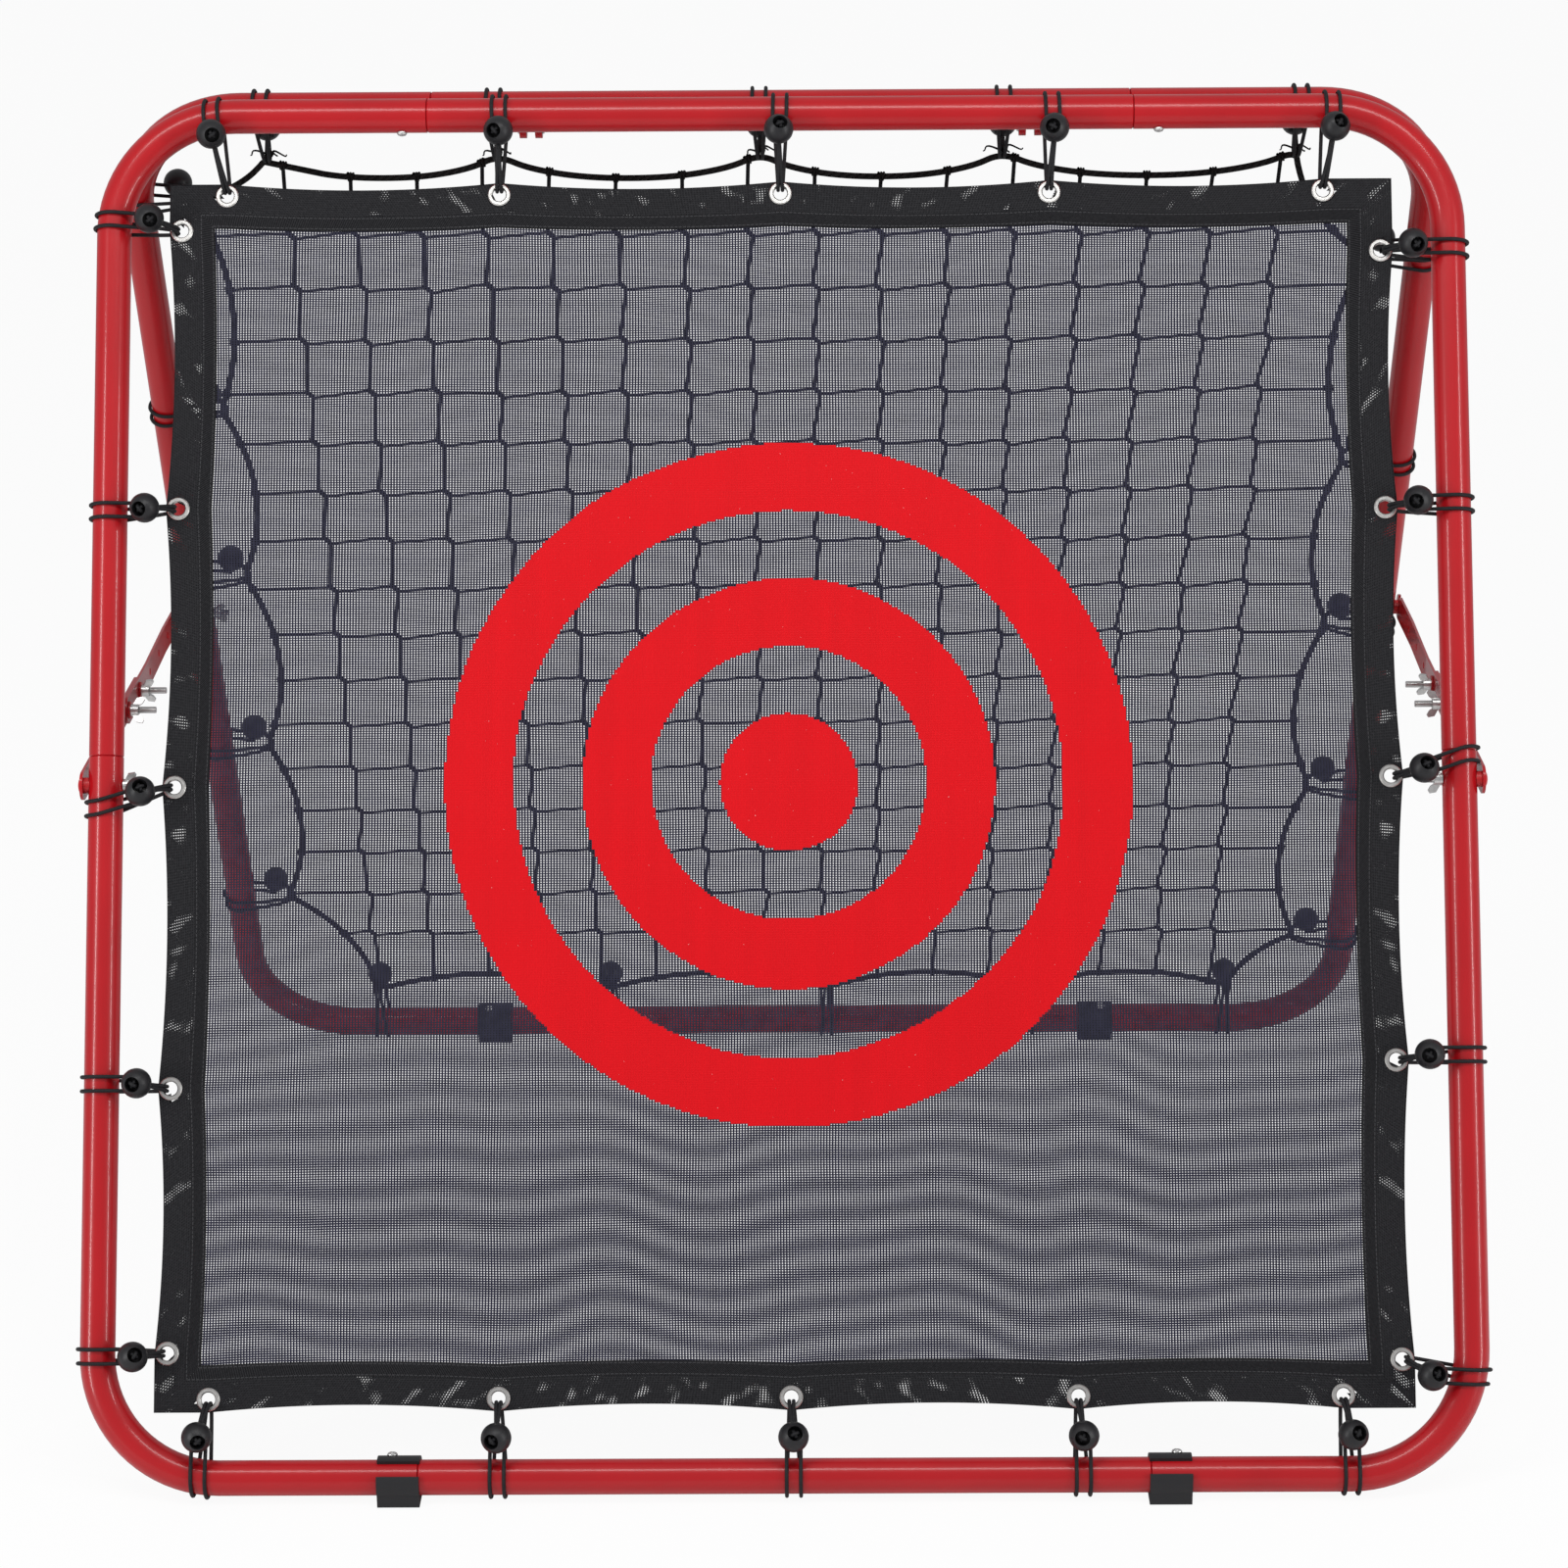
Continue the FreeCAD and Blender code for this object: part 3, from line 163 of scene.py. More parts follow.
def material(name):
    """A new material with its node maker, its main shader and its object coordinates."""
    made = bpy.data.materials.new(name)
    made.use_nodes = True
    start = Shade(made.node_tree)
    shader = made.node_tree.nodes["Principled BSDF"]
    place = start.node("ShaderNodeTexCoord", output="Object")
    return made, start, shader, place


def wire(shader, **sockets):
    """Sets the shader's sockets to values, or links them to what changes over the surface."""
    for key, value in sockets.items():
        socket = shader.inputs[key.replace("_", " ")]
        if isinstance(value, Shade):
            value.tree.links.new(value.socket, socket)
        else:
            socket.default_value = value


def bumped(height, depth, strength=1.0):
    """A normal that stands out by a depth in metres where the height goes from 0 to 1."""
    inputs = {"Strength": strength, "Distance": depth, "Height": height}
    return height.node("ShaderNodeBump", {}, inputs, "Normal")


# The paper: a wide pale floor, white to the camera and keeping a trace of the object's soft shadow, under
# a world that is white to the camera and a plain grey light on the object.

PAPER_HALF = 40.0
PAPER_GLOW = 0.93
sweep_mesh = bpy.data.meshes.new("sweep")
sweep_corners = [(x * PAPER_HALF, y * PAPER_HALF, 0.0) for x, y in ((-1, -1), (1, -1), (1, 1), (-1, 1))]
sweep_mesh.from_pydata(sweep_corners, [], [(0, 1, 2, 3)])
sweep = bpy.data.objects.new("sweep", sweep_mesh)
bpy.context.scene.collection.objects.link(sweep)
paper, start, shader, place = material("paper")
rays = start.tree.nodes.new("ShaderNodeLightPath")
seen = Shade(start.tree, rays.outputs["Is Camera Ray"]) + Shade(start.tree, rays.outputs["Is Transmission Ray"])
grain = start.noise(place, 40.0)
wire(shader, Base_Color=grain.mix((0.84, 0.84, 0.84, 1.0), (0.87, 0.87, 0.87, 1.0)), Roughness=0.9,
     Specular_IOR_Level=0.0)
glow = start.node("ShaderNodeEmission", {}, {"Color": (1.0, 1.0, 1.0, 1.0), "Strength": 1.0})
lit = Shade(start.tree, shader.outputs[0])
blend = start.node("ShaderNodeMixShader", {}, {0: seen * PAPER_GLOW, 1: lit, 2: glow})
start.tree.links.new(blend.socket, start.tree.nodes["Material Output"].inputs["Surface"])
sweep_mesh.materials.append(paper)

world = bpy.data.worlds.new("studio")
world.use_nodes = True
bpy.context.scene.world = world
air = Shade(world.node_tree)
seen = air.node("ShaderNodeLightPath", output="Is Camera Ray")
light = seen.mix((0.46, 0.46, 0.475, 1.0), (1.0, 1.0, 1.0, 1.0))
world.node_tree.links.new(light.socket, world.node_tree.nodes["Background"].inputs["Color"])

bpy.context.scene.view_settings.view_transform = "Standard"

# Frame tubes, braces and hinge plates
# Bent steel tube of 30 mm with flat steel braces, sprayed in a deep red gloss enamel. The enamel has a
# fine orange peel, a little dust and soft clouds of a deeper red.

RED_NODES = [f"{end}_{level}_tube" for end in ("front", "rear") for level in ("top", "bottom")]
RED_NODES += [f"{end}_{level}_{side}_corner" for end in ("front", "rear")
              for level in ("upper", "lower") for side in ("left", "right")]
RED_NODES += [f"{side}_brace_{half_bar}_bar" for side in ("left", "right") for half_bar in ("front", "rear")]
RED_NODES += ["hinge_front_lugs", "hinge_rear_lugs"]
ENAMEL_DEEP = (0.33, 0.003, 0.006, 1.0)
ENAMEL_BRIGHT = (0.47, 0.006, 0.011, 1.0)

enamel, start, shader, place = material("red_enamel")
clouds = start.noise(place, 9.0, 3.0)
peel = start.noise(place, 900.0, 1.0)
dust = start.noise(place, 2600.0, 2.0)
wire(shader, Base_Color=clouds.mix(ENAMEL_DEEP, ENAMEL_BRIGHT), Roughness=0.24 + dust * 0.12,
     Specular_IOR_Level=0.3, Coat_Weight=0.28, Coat_Roughness=0.05, Normal=bumped(peel, 0.00003, 0.25))


def dress(names, finish):
    """Gives CAD nodes one finish."""
    for name in names:
        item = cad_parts[name]
        if item.data.materials:
            for index in range(len(item.data.materials)):
                item.data.materials[index] = finish
        else:
            item.data.materials.append(finish)


dress(RED_NODES, enamel)

# Side bolts, brace bolts, spacers and washers
# Carriage bolts with low red-painted heads and bare zinc shanks with a rolled thread, which point inwards,
# and red moulded spacers and washers. Paint ends where |x| says that the head does, once for each pair.

HEAD_HEIGHT = 0.0028
THREAD_PITCH = 0.001
for pair in (["front_side_bolts", "rear_side_bolts"], ["left_brace_bolts", "right_brace_bolts"]):
    head_from = float(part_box(pair[-1])[1][0]) - HEAD_HEIGHT
    bolt_paint, start, shader, place = material("red_bolt")
    speck = start.noise(place, 1500.0, 2.0)
    x = place.split("X")
    head = x.calc("ABSOLUTE") > head_from
    thread = (x * (2 * math.pi / THREAD_PITCH)).calc("SINE")
    paint = speck.mix((0.42, 0.008, 0.012, 1.0), (0.6, 0.014, 0.018, 1.0))
    bare_zinc = speck.mix((0.5, 0.5, 0.49, 1.0), (0.72, 0.72, 0.7, 1.0))
    wire(shader, Base_Color=head.mix(bare_zinc, paint), Metallic=1.0 - head, Roughness=0.28 + speck * 0.1,
         Coat_Weight=head * 0.4, Normal=bumped(speck * 0.1 + thread * (1.0 - head), 0.0003, 0.4))
    dress(pair, bolt_paint)
red_plastic, start, shader, place = material("red_plastic")
speck = start.noise(place, 700.0, 2.0)
wire(shader, Base_Color=speck.mix((0.5, 0.01, 0.014, 1.0), (0.62, 0.016, 0.02, 1.0)),
     Roughness=0.35 + speck * 0.1, Normal=bumped(speck, 0.00004, 0.3))
dress(["front_spacers", "rear_spacers", "left_brace_washers", "right_brace_washers"], red_plastic)

# Wing nuts, joint screws and hinge pins
# Cast and pressed steel with a bright zinc plate, a little mottled and scuffed.

zinc, start, shader, place = material("zinc_steel")
mottle = start.noise(place, 420.0, 3.0)
scuff = start.noise(place, 2200.0, 2.0)
wire(shader, Base_Color=mottle.mix((0.5, 0.5, 0.49, 1.0), (0.78, 0.78, 0.76, 1.0)), Metallic=1.0,
     Roughness=0.22 + scuff * 0.2, Normal=bumped(scuff, 0.00004, 0.4))
dress([f"{end}_{side}_wing_nut" for end in ("front", "rear") for side in ("left", "right")], zinc)
dress([f"{side}_brace_wing_nut_{place_in_row}" for side in ("left", "right") for place_in_row in (1, 2)], zinc)
dress(["front_joint_screws", "rear_joint_screws", "hinge_pins"], zinc)

# Foot clips
# Black moulded clips that snap round the bottom tubes, with a fine spark-eroded texture.

foot_plastic, start, shader, place = material("black_plastic")
texture = start.noise(place, 1800.0, 2.0)
wire(shader, Base_Color=texture.mix((0.010, 0.010, 0.011, 1.0), (0.022, 0.022, 0.024, 1.0)),
     Roughness=0.42 + texture * 0.15, Specular_IOR_Level=0.3, Normal=bumped(texture, 0.00008, 0.5))
dress([f"{end}_{side}_foot" for end in ("front", "rear") for side in ("left", "right")], foot_plastic)

# Mesh sheet
# Open black polyester weave, stretched in the front frame by its eyelets. Its edge is drawn in by a
# shallow curve between two eyelets. The target is printed on the threads in red, thread by thread.

TUBE_RADIUS = 0.015


def corner_box(node):
    """The two corners of a CAD node as arrays."""
    low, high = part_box(node)
    return np.array(low), np.array(high)


def middle_of(node):
    """The middle of a CAD node's box."""
    low, high = corner_box(node)
    return (low + high) / 2


class Leaf:
    """One tube frame's own directions: across, down the frame from its top tube, and out from the other."""

    def __init__(self, end):
        top = middle_of(f"{end}_top_tube")
        bottom = middle_of(f"{end}_bottom_tube")
        self.top = top
        self.height = float(np.linalg.norm(bottom - top))
        self.down = (bottom - top) / self.height
        self.out = np.cross(self.down, (1.0, 0.0, 0.0)) * (1.0 if end == "front" else -1.0)
        self.half = float(corner_box(f"{end}_upper_right_corner")[1][0]) - TUBE_RADIUS

    def at(self, x, s, n):
        """Points at x across, s down the frame and n out of it, as an array with a last axis of three."""
        x, s, n = np.broadcast_arrays(x, s, n)
        grid = self.top + s[..., None] * self.down + n[..., None] * self.out
        grid[..., 0] = x
        return grid


front = Leaf("front")
rear = Leaf("rear")

SHEET_HALF = 0.5365
SHEET_TOP = 0.061
SHEET_BOTTOM = 1.129
EYELET_INSET = 0.011
EDGE_DIP = 0.006
DRAW_REACH = 0.13
RIPPLE = 0.0016
FRONT_TIES = {
    "top": [(-486, -497, -500), (-247, -246, -247), (0, -1, 0), (236, 240, 239), (476, 485, 485)],
    "left": [(103, 97, 95), (350, 353, 353), (594, 600, 613), (854, 850, 850), (1079, 1081, 1081)],
    "right": [(126, 125, 126), (354, 352, 352), (589, 585, 571), (834, 830, 830), (1088, 1101, 1103)],
    "bottom": [(-490, -496, -496), (-243, -243, -243), (6, 8, 8), (250, 253, 253), (475, 480, 480)],
}
eyelets_along = {side: np.array([tie[0] for tie in ties]) / 1000 for side, ties in FRONT_TIES.items()}
eyelets = np.array([(x, SHEET_TOP + EYELET_INSET) for x in eyelets_along["top"]]
                   + [(x, SHEET_BOTTOM - EYELET_INSET) for x in eyelets_along["bottom"]]
                   + [(-SHEET_HALF + EYELET_INSET, s) for s in eyelets_along["left"]]
                   + [(SHEET_HALF - EYELET_INSET, s) for s in eyelets_along["right"]])


def drawn_in(along, side):
    """How far the edge lies inside its full line: a parabola between two eyelets, nothing at each."""
    posts = eyelets_along[side]
    left = np.clip(np.searchsorted(posts, along) - 1, 0, len(posts) - 2)
    share = np.clip((along - posts[left]) / (posts[left + 1] - posts[left]), 0.0, 1.0)
    return EDGE_DIP * 4.0 * share * (1.0 - share)


def cloth_place(x, s):
    """Where a point of the flat cloth lies: moved in with the drawn edges near it, and rippled out of plane.

    The edge's draw fades by the square of the depth left to DRAW_REACH. The ripple is a product of two sines
    that fades to nothing at the eyelets' rows.
    """
    near_left, near_right, near_top, near_bottom = (
        np.clip(1.0 - depth / DRAW_REACH, 0.0, 1.0) ** 2
        for depth in (x + SHEET_HALF, SHEET_HALF - x, s - SHEET_TOP, SHEET_BOTTOM - s))
    moved_x = x + near_left * drawn_in(s, "left") - near_right * drawn_in(s, "right")
    moved_s = s + near_top * drawn_in(x, "top") - near_bottom * drawn_in(x, "bottom")
    inside = (1.0 - (near_left + near_right)) * (1.0 - (near_top + near_bottom))
    waves = np.sin(x * 9.0 + 1.3 * np.sin(s * 5.0)) * np.sin(s * 7.0 + 0.8)
    ripple = RIPPLE * waves * np.clip(inside, 0.0, 1.0)
    return moved_x, moved_s, ripple


def ticks(low, high, step, spots, reach, fine):
    """Grid lines at a wide step, with fine ones round certain spots."""
    wide = np.arange(low, high, step)
    close = np.concatenate([np.arange(spot - reach, spot + reach, fine) for spot in spots])
    close = close[(close > low) & (close < high)]
    wide = wide[np.min(np.abs(wide[:, None] - close[None, :]), axis=1) > fine]
    return np.unique(np.concatenate([[low, high], wide, close]))


def grid_mesh(name, points, uv, wrap=False, keep=None):
    """An object of quads over a stack of grids, with points as (patch, row, column).

    uv has one column more where the columns wrap round. Keep is a mask of the quads to make.
    """
    patches, rows, columns, _ = points.shape
    index = np.arange(patches * rows * columns).reshape(patches, rows, columns)
    if wrap:
        index = np.concatenate([index, index[:, :, :1]], axis=2)
    quads = np.stack([index[:, :-1, :-1], index[:, :-1, 1:], index[:, 1:, 1:], index[:, 1:, :-1]], axis=-1)
    corners = np.stack([uv[:, :-1, :-1], uv[:, :-1, 1:], uv[:, 1:, 1:], uv[:, 1:, :-1]], axis=-2)
    quads = quads.reshape(-1, 4)
    corners = corners.reshape(-1, 4, 2)
    if keep is not None:
        quads = quads[keep.reshape(-1)]
        corners = corners[keep.reshape(-1)]
    used, flat = np.unique(quads, return_inverse=True)
    mesh = bpy.data.meshes.new(name)
    mesh.from_pydata(points.reshape(-1, 3)[used].tolist(), [], flat.reshape(-1, 4).tolist())
    layer = mesh.uv_layers.new(name="UVMap")
    layer.data.foreach_set("uv", corners.reshape(-1).astype(np.float32))
    mesh.polygons.foreach_set("use_smooth", np.ones(len(mesh.polygons), bool))
    mesh.update()
    item = bpy.data.objects.new(name, mesh)
    bpy.context.scene.collection.objects.link(item)
    return item


def clear_of_eyelets(x, s, radius):
    """True where the middle of a quad lies outside every eyelet hole."""
    middle_x = (x[:-1, :-1] + x[1:, 1:]) / 2
    middle_s = (s[:-1, :-1] + s[1:, 1:]) / 2
    gap = np.hypot(middle_x[..., None] - eyelets[:, 0], middle_s[..., None] - eyelets[:, 1])
    return gap.min(axis=-1) > radius


HOLE_RADIUS = 0.0080
FINE = 0.0018
WIDE = 0.012
FINE_REACH = 0.011
lines_x = ticks(-SHEET_HALF, SHEET_HALF, WIDE, eyelets[:, 0], FINE_REACH, FINE)
lines_s = ticks(SHEET_TOP, SHEET_BOTTOM, WIDE, eyelets[:, 1], FINE_REACH, FINE)
flat_x, flat_s = np.meshgrid(lines_x, lines_s)
cloth_x, cloth_s, cloth_n = cloth_place(flat_x, flat_s)
sheet = grid_mesh("mesh_weave_sheet", front.at(cloth_x, cloth_s, cloth_n)[None],
                  np.stack([flat_x, flat_s], axis=-1)[None],
                  keep=clear_of_eyelets(cloth_x, cloth_s, HOLE_RADIUS)[None])

WARP_PITCH = 0.0025
WEFT_PITCH = 0.0021
HOLE_ACROSS = 0.38
HOLE_DOWN = 0.56
# Painted shadow: how much the holes close towards the bottom of the sheet, and from how far down.
PAINTED_SHADOW_CLOSING = 0.16
PAINTED_SHADOW_FROM = 0.62
BAND_PITCH = 0.0245
CLOTH_END = 0.024
TARGET_AT = (0.0057, 0.5918)
RING_STEP = 0.0595
# The threads' blue tint is painted light: it stands in for the bluish light on the sheet. Their black and grey
# are a random tone.
THREAD_BLACK = (0.010, 0.010, 0.020, 1.0)
THREAD_GREY = (0.030, 0.030, 0.052, 1.0)
PRINT_RED = (0.68, 0.003, 0.008, 1.0)
PRINT_DEEP = (0.53, 0.003, 0.007, 1.0)


def weave(cloth, across_hole, down_hole):
    """The weave on the cloth's own flat measure, in metres.

    Gives where the holes are, how high the threads stand, and the middle of each thread crossing.
    A hole is where both coordinates, each taken within its pitch, lie near the middle of the pitch.
    """
    wander = cloth.noise(cloth, 7.0, 1.0) - 0.5
    column = cloth.split("X") / WARP_PITCH + wander * 1.6
    line = cloth.split("Y") / WEFT_PITCH + wander * 2.4
    away_x = (column.calc("FRACT") - 0.5).calc("ABSOLUTE")
    away_s = (line.calc("FRACT") - 0.5).calc("ABSOLUTE")
    hole = (away_x < across_hole * 0.5) * (away_s < down_hole * 0.5)
    height = away_x.calc("MAXIMUM", away_s) * 2.0
    return hole, height, (column.calc("FLOOR") + 0.5) * WARP_PITCH, (line.calc("FLOOR") + 0.5) * WEFT_PITCH


mesh_weave, start, shader, place = material("mesh_weave")
cloth = start.node("ShaderNodeTexCoord", output="UV")
x, down = cloth.split("X"), cloth.split("Y")
bend = start.noise(cloth.stretched(1.0, 0.25), 4.2, 1.0)
band = ((down + bend * 0.16) * (2 * math.pi / BAND_PITCH)).calc("SINE")
# Painted shadow: the holes are made shorter towards the bottom of the sheet. They are a little shorter
# everywhere, then more and more shorter from about 0.70 m down to 0.95 m, so that more black thread shows and
# the lower part reads darker, as in shade. The wavy bands in the hole size grow with it.
painted_shadow_ramp = ((down - PAINTED_SHADOW_FROM) * 3.0).calc("MAXIMUM", 0.25).calc("MINIMUM", 1.0)
hole_down = HOLE_DOWN - painted_shadow_ramp * PAINTED_SHADOW_CLOSING + band * painted_shadow_ramp * 0.13
hole, height, middle_x, middle_s = weave(cloth, HOLE_ACROSS, hole_down)
off_x = middle_x - TARGET_AT[0]
off_s = middle_s - TARGET_AT[1]
radius = (off_x * off_x + off_s * off_s).calc("SQRT")
ring = radius / (2 * RING_STEP)
printed = (ring.calc("FRACT") < 0.5) * (radius < 5 * RING_STEP)
closed = start.noise(cloth, 700.0, 1.0) > 0.22
off_middle = (down - (SHEET_TOP + SHEET_BOTTOM) / 2).calc("ABSOLUTE")
bare = (x.calc("ABSOLUTE") < SHEET_HALF - CLOTH_END) * (off_middle < (SHEET_BOTTOM - SHEET_TOP) / 2 - CLOTH_END)
alpha = (1.0 - hole * (1.0 - printed * closed)) * bare
fade_line = start.noise(cloth.stretched(60.0, 3.0), 1.0, 2.0)
thread = start.noise(cloth, 90.0, 2.0).mix(THREAD_BLACK, THREAD_GREY)
# The print's red is deeper in streaks of fading. It is also deeper towards each thread's sides and lighter on
# its crown, which is painted shade.
shaded_ink = (fade_line * 0.6 + height * 0.4).mix(PRINT_DEEP, PRINT_RED)
wire(shader, Base_Color=printed.mix(thread, shaded_ink), Alpha=alpha, Roughness=0.62 - printed * 0.08,
     Specular_IOR_Level=0.12, Normal=bumped(height, 0.0003, 0.5))
sheet.data.materials.append(mesh_weave)
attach(sheet, "front_frame")
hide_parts("mesh_sheet")

# Hem
# The sheet's edge is folded over a band 40 mm wide and sewn down: outside it is two or three layers of the
# weave, which show a moire, and its inner 14 mm is a solid woven tape with two rows of stitches.

HEM_WIDTH = 0.040
TAPE_WIDTH = 0.014
HEM_RISE = 0.0009
BACK_WIDTH = 0.026
FOLD = 0.0004
TWILL_PITCH = 0.0017
STITCH_ROWS = (HEM_WIDTH - 0.0022, HEM_WIDTH - 0.0122)
STITCH_HALF = 0.0004
turn_in = np.concatenate([np.arange(HEM_WIDTH, 0.0, -FINE), [FOLD]])
turn_back = np.arange(FINE, BACK_WIDTH, FINE)
profile_w = np.concatenate([[HEM_WIDTH], turn_in, [0.0, FOLD], turn_back])
profile_n = np.concatenate([[0.0002], np.full(len(turn_in), HEM_RISE), [0.0, -HEM_RISE],
                            np.full(len(turn_back), -HEM_RISE)])


def hem_side(side):
    """One side of the hem: the folded profile carried along the edge, mitred at 45 degrees at both corners."""
    level_side = side in ("top", "bottom")
    low, high = (-SHEET_HALF, SHEET_HALF) if level_side else (SHEET_TOP, SHEET_BOTTOM)
    along = ticks(low, high, 0.009, eyelets_along[side], 0.0105, FINE)
    w, a = np.meshgrid(profile_w, along)
    n = np.broadcast_to(profile_n, w.shape)
    middle = (low + high) / 2
    share = ((high - low) / 2 - w) / ((high - low) / 2)
    run = middle + (a - middle) * share
    edge = {"top": SHEET_TOP + w, "bottom": SHEET_BOTTOM - w,
            "left": -SHEET_HALF + w, "right": SHEET_HALF - w}[side]
    x, s = (run, edge) if level_side else (edge, run)
    x, s, ripple = cloth_place(x, s)
    puff = 0.0004 * np.sin(a * 47.0) * np.sin(np.pi * np.clip(w / HEM_WIDTH, 0.0, 1.0)) * np.sign(n)
    points = front.at(x, s, n + puff + ripple)
    uv = np.stack([a, w], axis=-1)
    return points, uv, clear_of_eyelets(x, s, HOLE_RADIUS)


hem_tape, start, shader, place = material("hem_tape")
cloth = start.node("ShaderNodeTexCoord", output="UV")
along, inwards = cloth.split("X"), cloth.split("Y")
patches = (start.noise(cloth.stretched(50.0, 46.0), 1.0, 1.0) - 0.535) * 7.0
aligned = patches.calc("MAXIMUM", 0.0).calc("MINIMUM", 1.0)
hole, height, _, _ = weave(cloth, aligned * 0.34, aligned * 0.6)
inner = inwards > HEM_WIDTH - TAPE_WIDTH
slant = (along * 0.8 + inwards) * (2 * math.pi / TWILL_PITCH)
lift = inner * (slant.calc("SINE") * 0.5 + 0.5) + (1.0 - inner) * height
to_rows = [(inwards - row).calc("ABSOLUTE") for row in STITCH_ROWS]
dash = (along * 250.0).calc("FRACT") < 0.72
stitch = (to_rows[0].calc("MINIMUM", to_rows[1]) < STITCH_HALF) * dash
# Painted glints and shade: the tape's black is lighter where its threads stand highest and darker in the
# hollows between them, and mottled by noise.
fibre_and_glint = (lift * start.noise(cloth, 400.0)).mix((0.002, 0.002, 0.003, 1.0), (0.035, 0.035, 0.038, 1.0))
wire(shader, Base_Color=stitch.mix(fibre_and_glint, (0.045, 0.045, 0.048, 1.0)), Alpha=1.0 - hole * (1.0 - inner),
     Roughness=0.7 - stitch * 0.2, Specular_IOR_Level=0.15, Normal=bumped(lift + stitch * 0.8, 0.00035, 0.6))
for side in ("top", "right", "bottom", "left"):
    points, uv, keep = hem_side(side)
    piece = grid_mesh(f"hem_{side}", points[None], uv[None], keep=keep[None])
    piece.data.materials.append(hem_tape)
    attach(piece, "front_frame")
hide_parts("mesh_hem")

# Eyelets
# Pressed brass rings with a nickel plate, rolled over on the front.

nickel, start, shader, place = material("nickel_ring")
tarnish = start.noise(place, 300.0, 3.0)
wire(shader, Base_Color=tarnish.mix((0.50, 0.49, 0.46, 1.0), (0.70, 0.69, 0.67, 1.0)), Metallic=1.0,
     Roughness=0.3 + tarnish * 0.1, Normal=bumped(tarnish, 0.000004, 0.1))
dress(["mesh_grommets"], nickel)

# Elastic ties
# Each tie is a loop of black braided elastic, about 3.4 mm thick: from the ball over the tube, round it,
# behind the sheet or net and back through the eyelet or round the rope into the ball. Two strands show.

CORD_RADIUS = 0.0017
WRAP_RADIUS = 0.0168
WRAP_ANGLES = np.radians([75.0, 25.0, -25.0, -75.0])
WRAP_CORNER = WRAP_RADIUS / math.cos(WRAP_ANGLES[1])
wrap_out = WRAP_CORNER * np.cos(WRAP_ANGLES)
wrap_rise = WRAP_CORNER * np.sin(WRAP_ANGLES)
LEAVE_SLOPE = math.tan(math.radians(10.0))
BALL_RADIUS = 0.013
BALL_SEAT = 0.0003
BALL_COVER = 0.002
BALL_REACH = 0.034
TOP_BALL_REACH = 0.021
LOW_REAR_BALL_REACH = 0.052
BOLT_TIE_LIFT = 0.002
STRAND_SPREAD = 0.006
STRAND_PINCH = 0.0019
TURN_DEPTH = 0.007
TURN_LEAN = 0.003
EYELET_PULL = 0.0016
STRAND_SIDES = 10
NEAR_WRAP = 0.0155
BEND_RADIUS = 0.105
REAR_TIES = {
    "top": [(-462, -463, -462), (-255, -255, -255), (-19, -19, -19), (198, 199, 198), (462, 462, 462)],
    "left": [(96, 95, 96), (338, 337, 338), (545, 544, 545), (770, 769, 770), (990, 989, 990)],
    "right": [(165, 163, 165), (405, 404, 405), (613, 613, 617), (835, 834, 835), (1055, 1057, 1055)],
    "bottom": [(-451, -451, -451), (-200, -200, -200), (35, 35, 35), (253, 253, 253), (467, 467, 467)],
}


def beside(leaf, side, out, rise, along):
    """Points by a tube: out from its middle, rise away from the other frame, along it."""
    if side == "top":
        return leaf.at(along, -np.asarray(out), rise)
    if side == "bottom":
        return leaf.at(along, leaf.height + np.asarray(out), rise)
    sign = -1.0 if side == "left" else 1.0
    return leaf.at(sign * (leaf.half + np.asarray(out)), along, rise)


def by_tube(leaf, side, out, rise, along):
    """Points by a tube that follow it where it bends, and are spread out across its slant there.

    Past the start of the bend by p, the tube's middle comes in by R - sqrt(R^2 - p^2).
    """
    if side in ("top", "bottom"):
        past = abs(along) - (leaf.half - BEND_RADIUS)
    else:
        past = max(BEND_RADIUS - along, along - (leaf.height - BEND_RADIUS))
    level = math.sqrt(BEND_RADIUS ** 2 - max(past, 0.0) ** 2)
    return beside(leaf, side, out * BEND_RADIUS / level - (BEND_RADIUS - level), rise, along)


def strand_rise(reach_in):
    """Height in front of the tube's middle of a strand that leaves the tube on its touching line."""
    return wrap_rise[0] - (reach_in + wrap_out[0]) * LEAVE_SLOPE


def smooth_line(controls, steps):
    """The quadratic spline of a row of control points: from middle to middle of its runs, ends at the ends."""
    controls = np.asarray(controls)
    joints = (controls[:-1] + controls[1:]) / 2
    joints[0] = controls[0]
    joints[-1] = controls[-1]
    t = np.linspace(0.0, 1.0, steps, endpoint=False)[:, None]
    parts = [(1 - t) ** 2 * joints[i] + 2 * t * (1 - t) * controls[i + 1] + t ** 2 * joints[i + 1]
             for i in range(len(controls) - 2)]
    return np.concatenate(parts + [joints[-1][None]])


def swept(paths, radius, reference, sides):
    """Rings of a round section along each path, set out from the path's heading and a reference direction."""
    heading = np.gradient(paths, axis=1)
    heading /= np.linalg.norm(heading, axis=-1, keepdims=True)
    side = np.cross(heading, reference)
    side /= np.linalg.norm(side, axis=-1, keepdims=True)
    up = np.cross(heading, side)
    angle = np.linspace(0.0, 2 * math.pi, sides, endpoint=False)
    radius = np.broadcast_to(radius, paths.shape[:2])[..., None, None]
    ring = np.cos(angle)[:, None] * side[:, :, None, :] + np.sin(angle)[:, None] * up[:, :, None, :]
    return paths[:, :, None, :] + radius * ring


def tube_uv(paths, sides):
    """Unrolled measure of a tube: turns round it and metres along it."""
    step = np.linalg.norm(np.diff(paths, axis=1), axis=-1)
    run = np.concatenate([np.zeros((len(paths), 1)), np.cumsum(step, axis=1)], axis=1)
    turn = np.linspace(0.0, 1.0, sides + 1)
    return np.stack(np.broadcast_arrays(turn[None, None, :], run[:, :, None]), axis=-1)


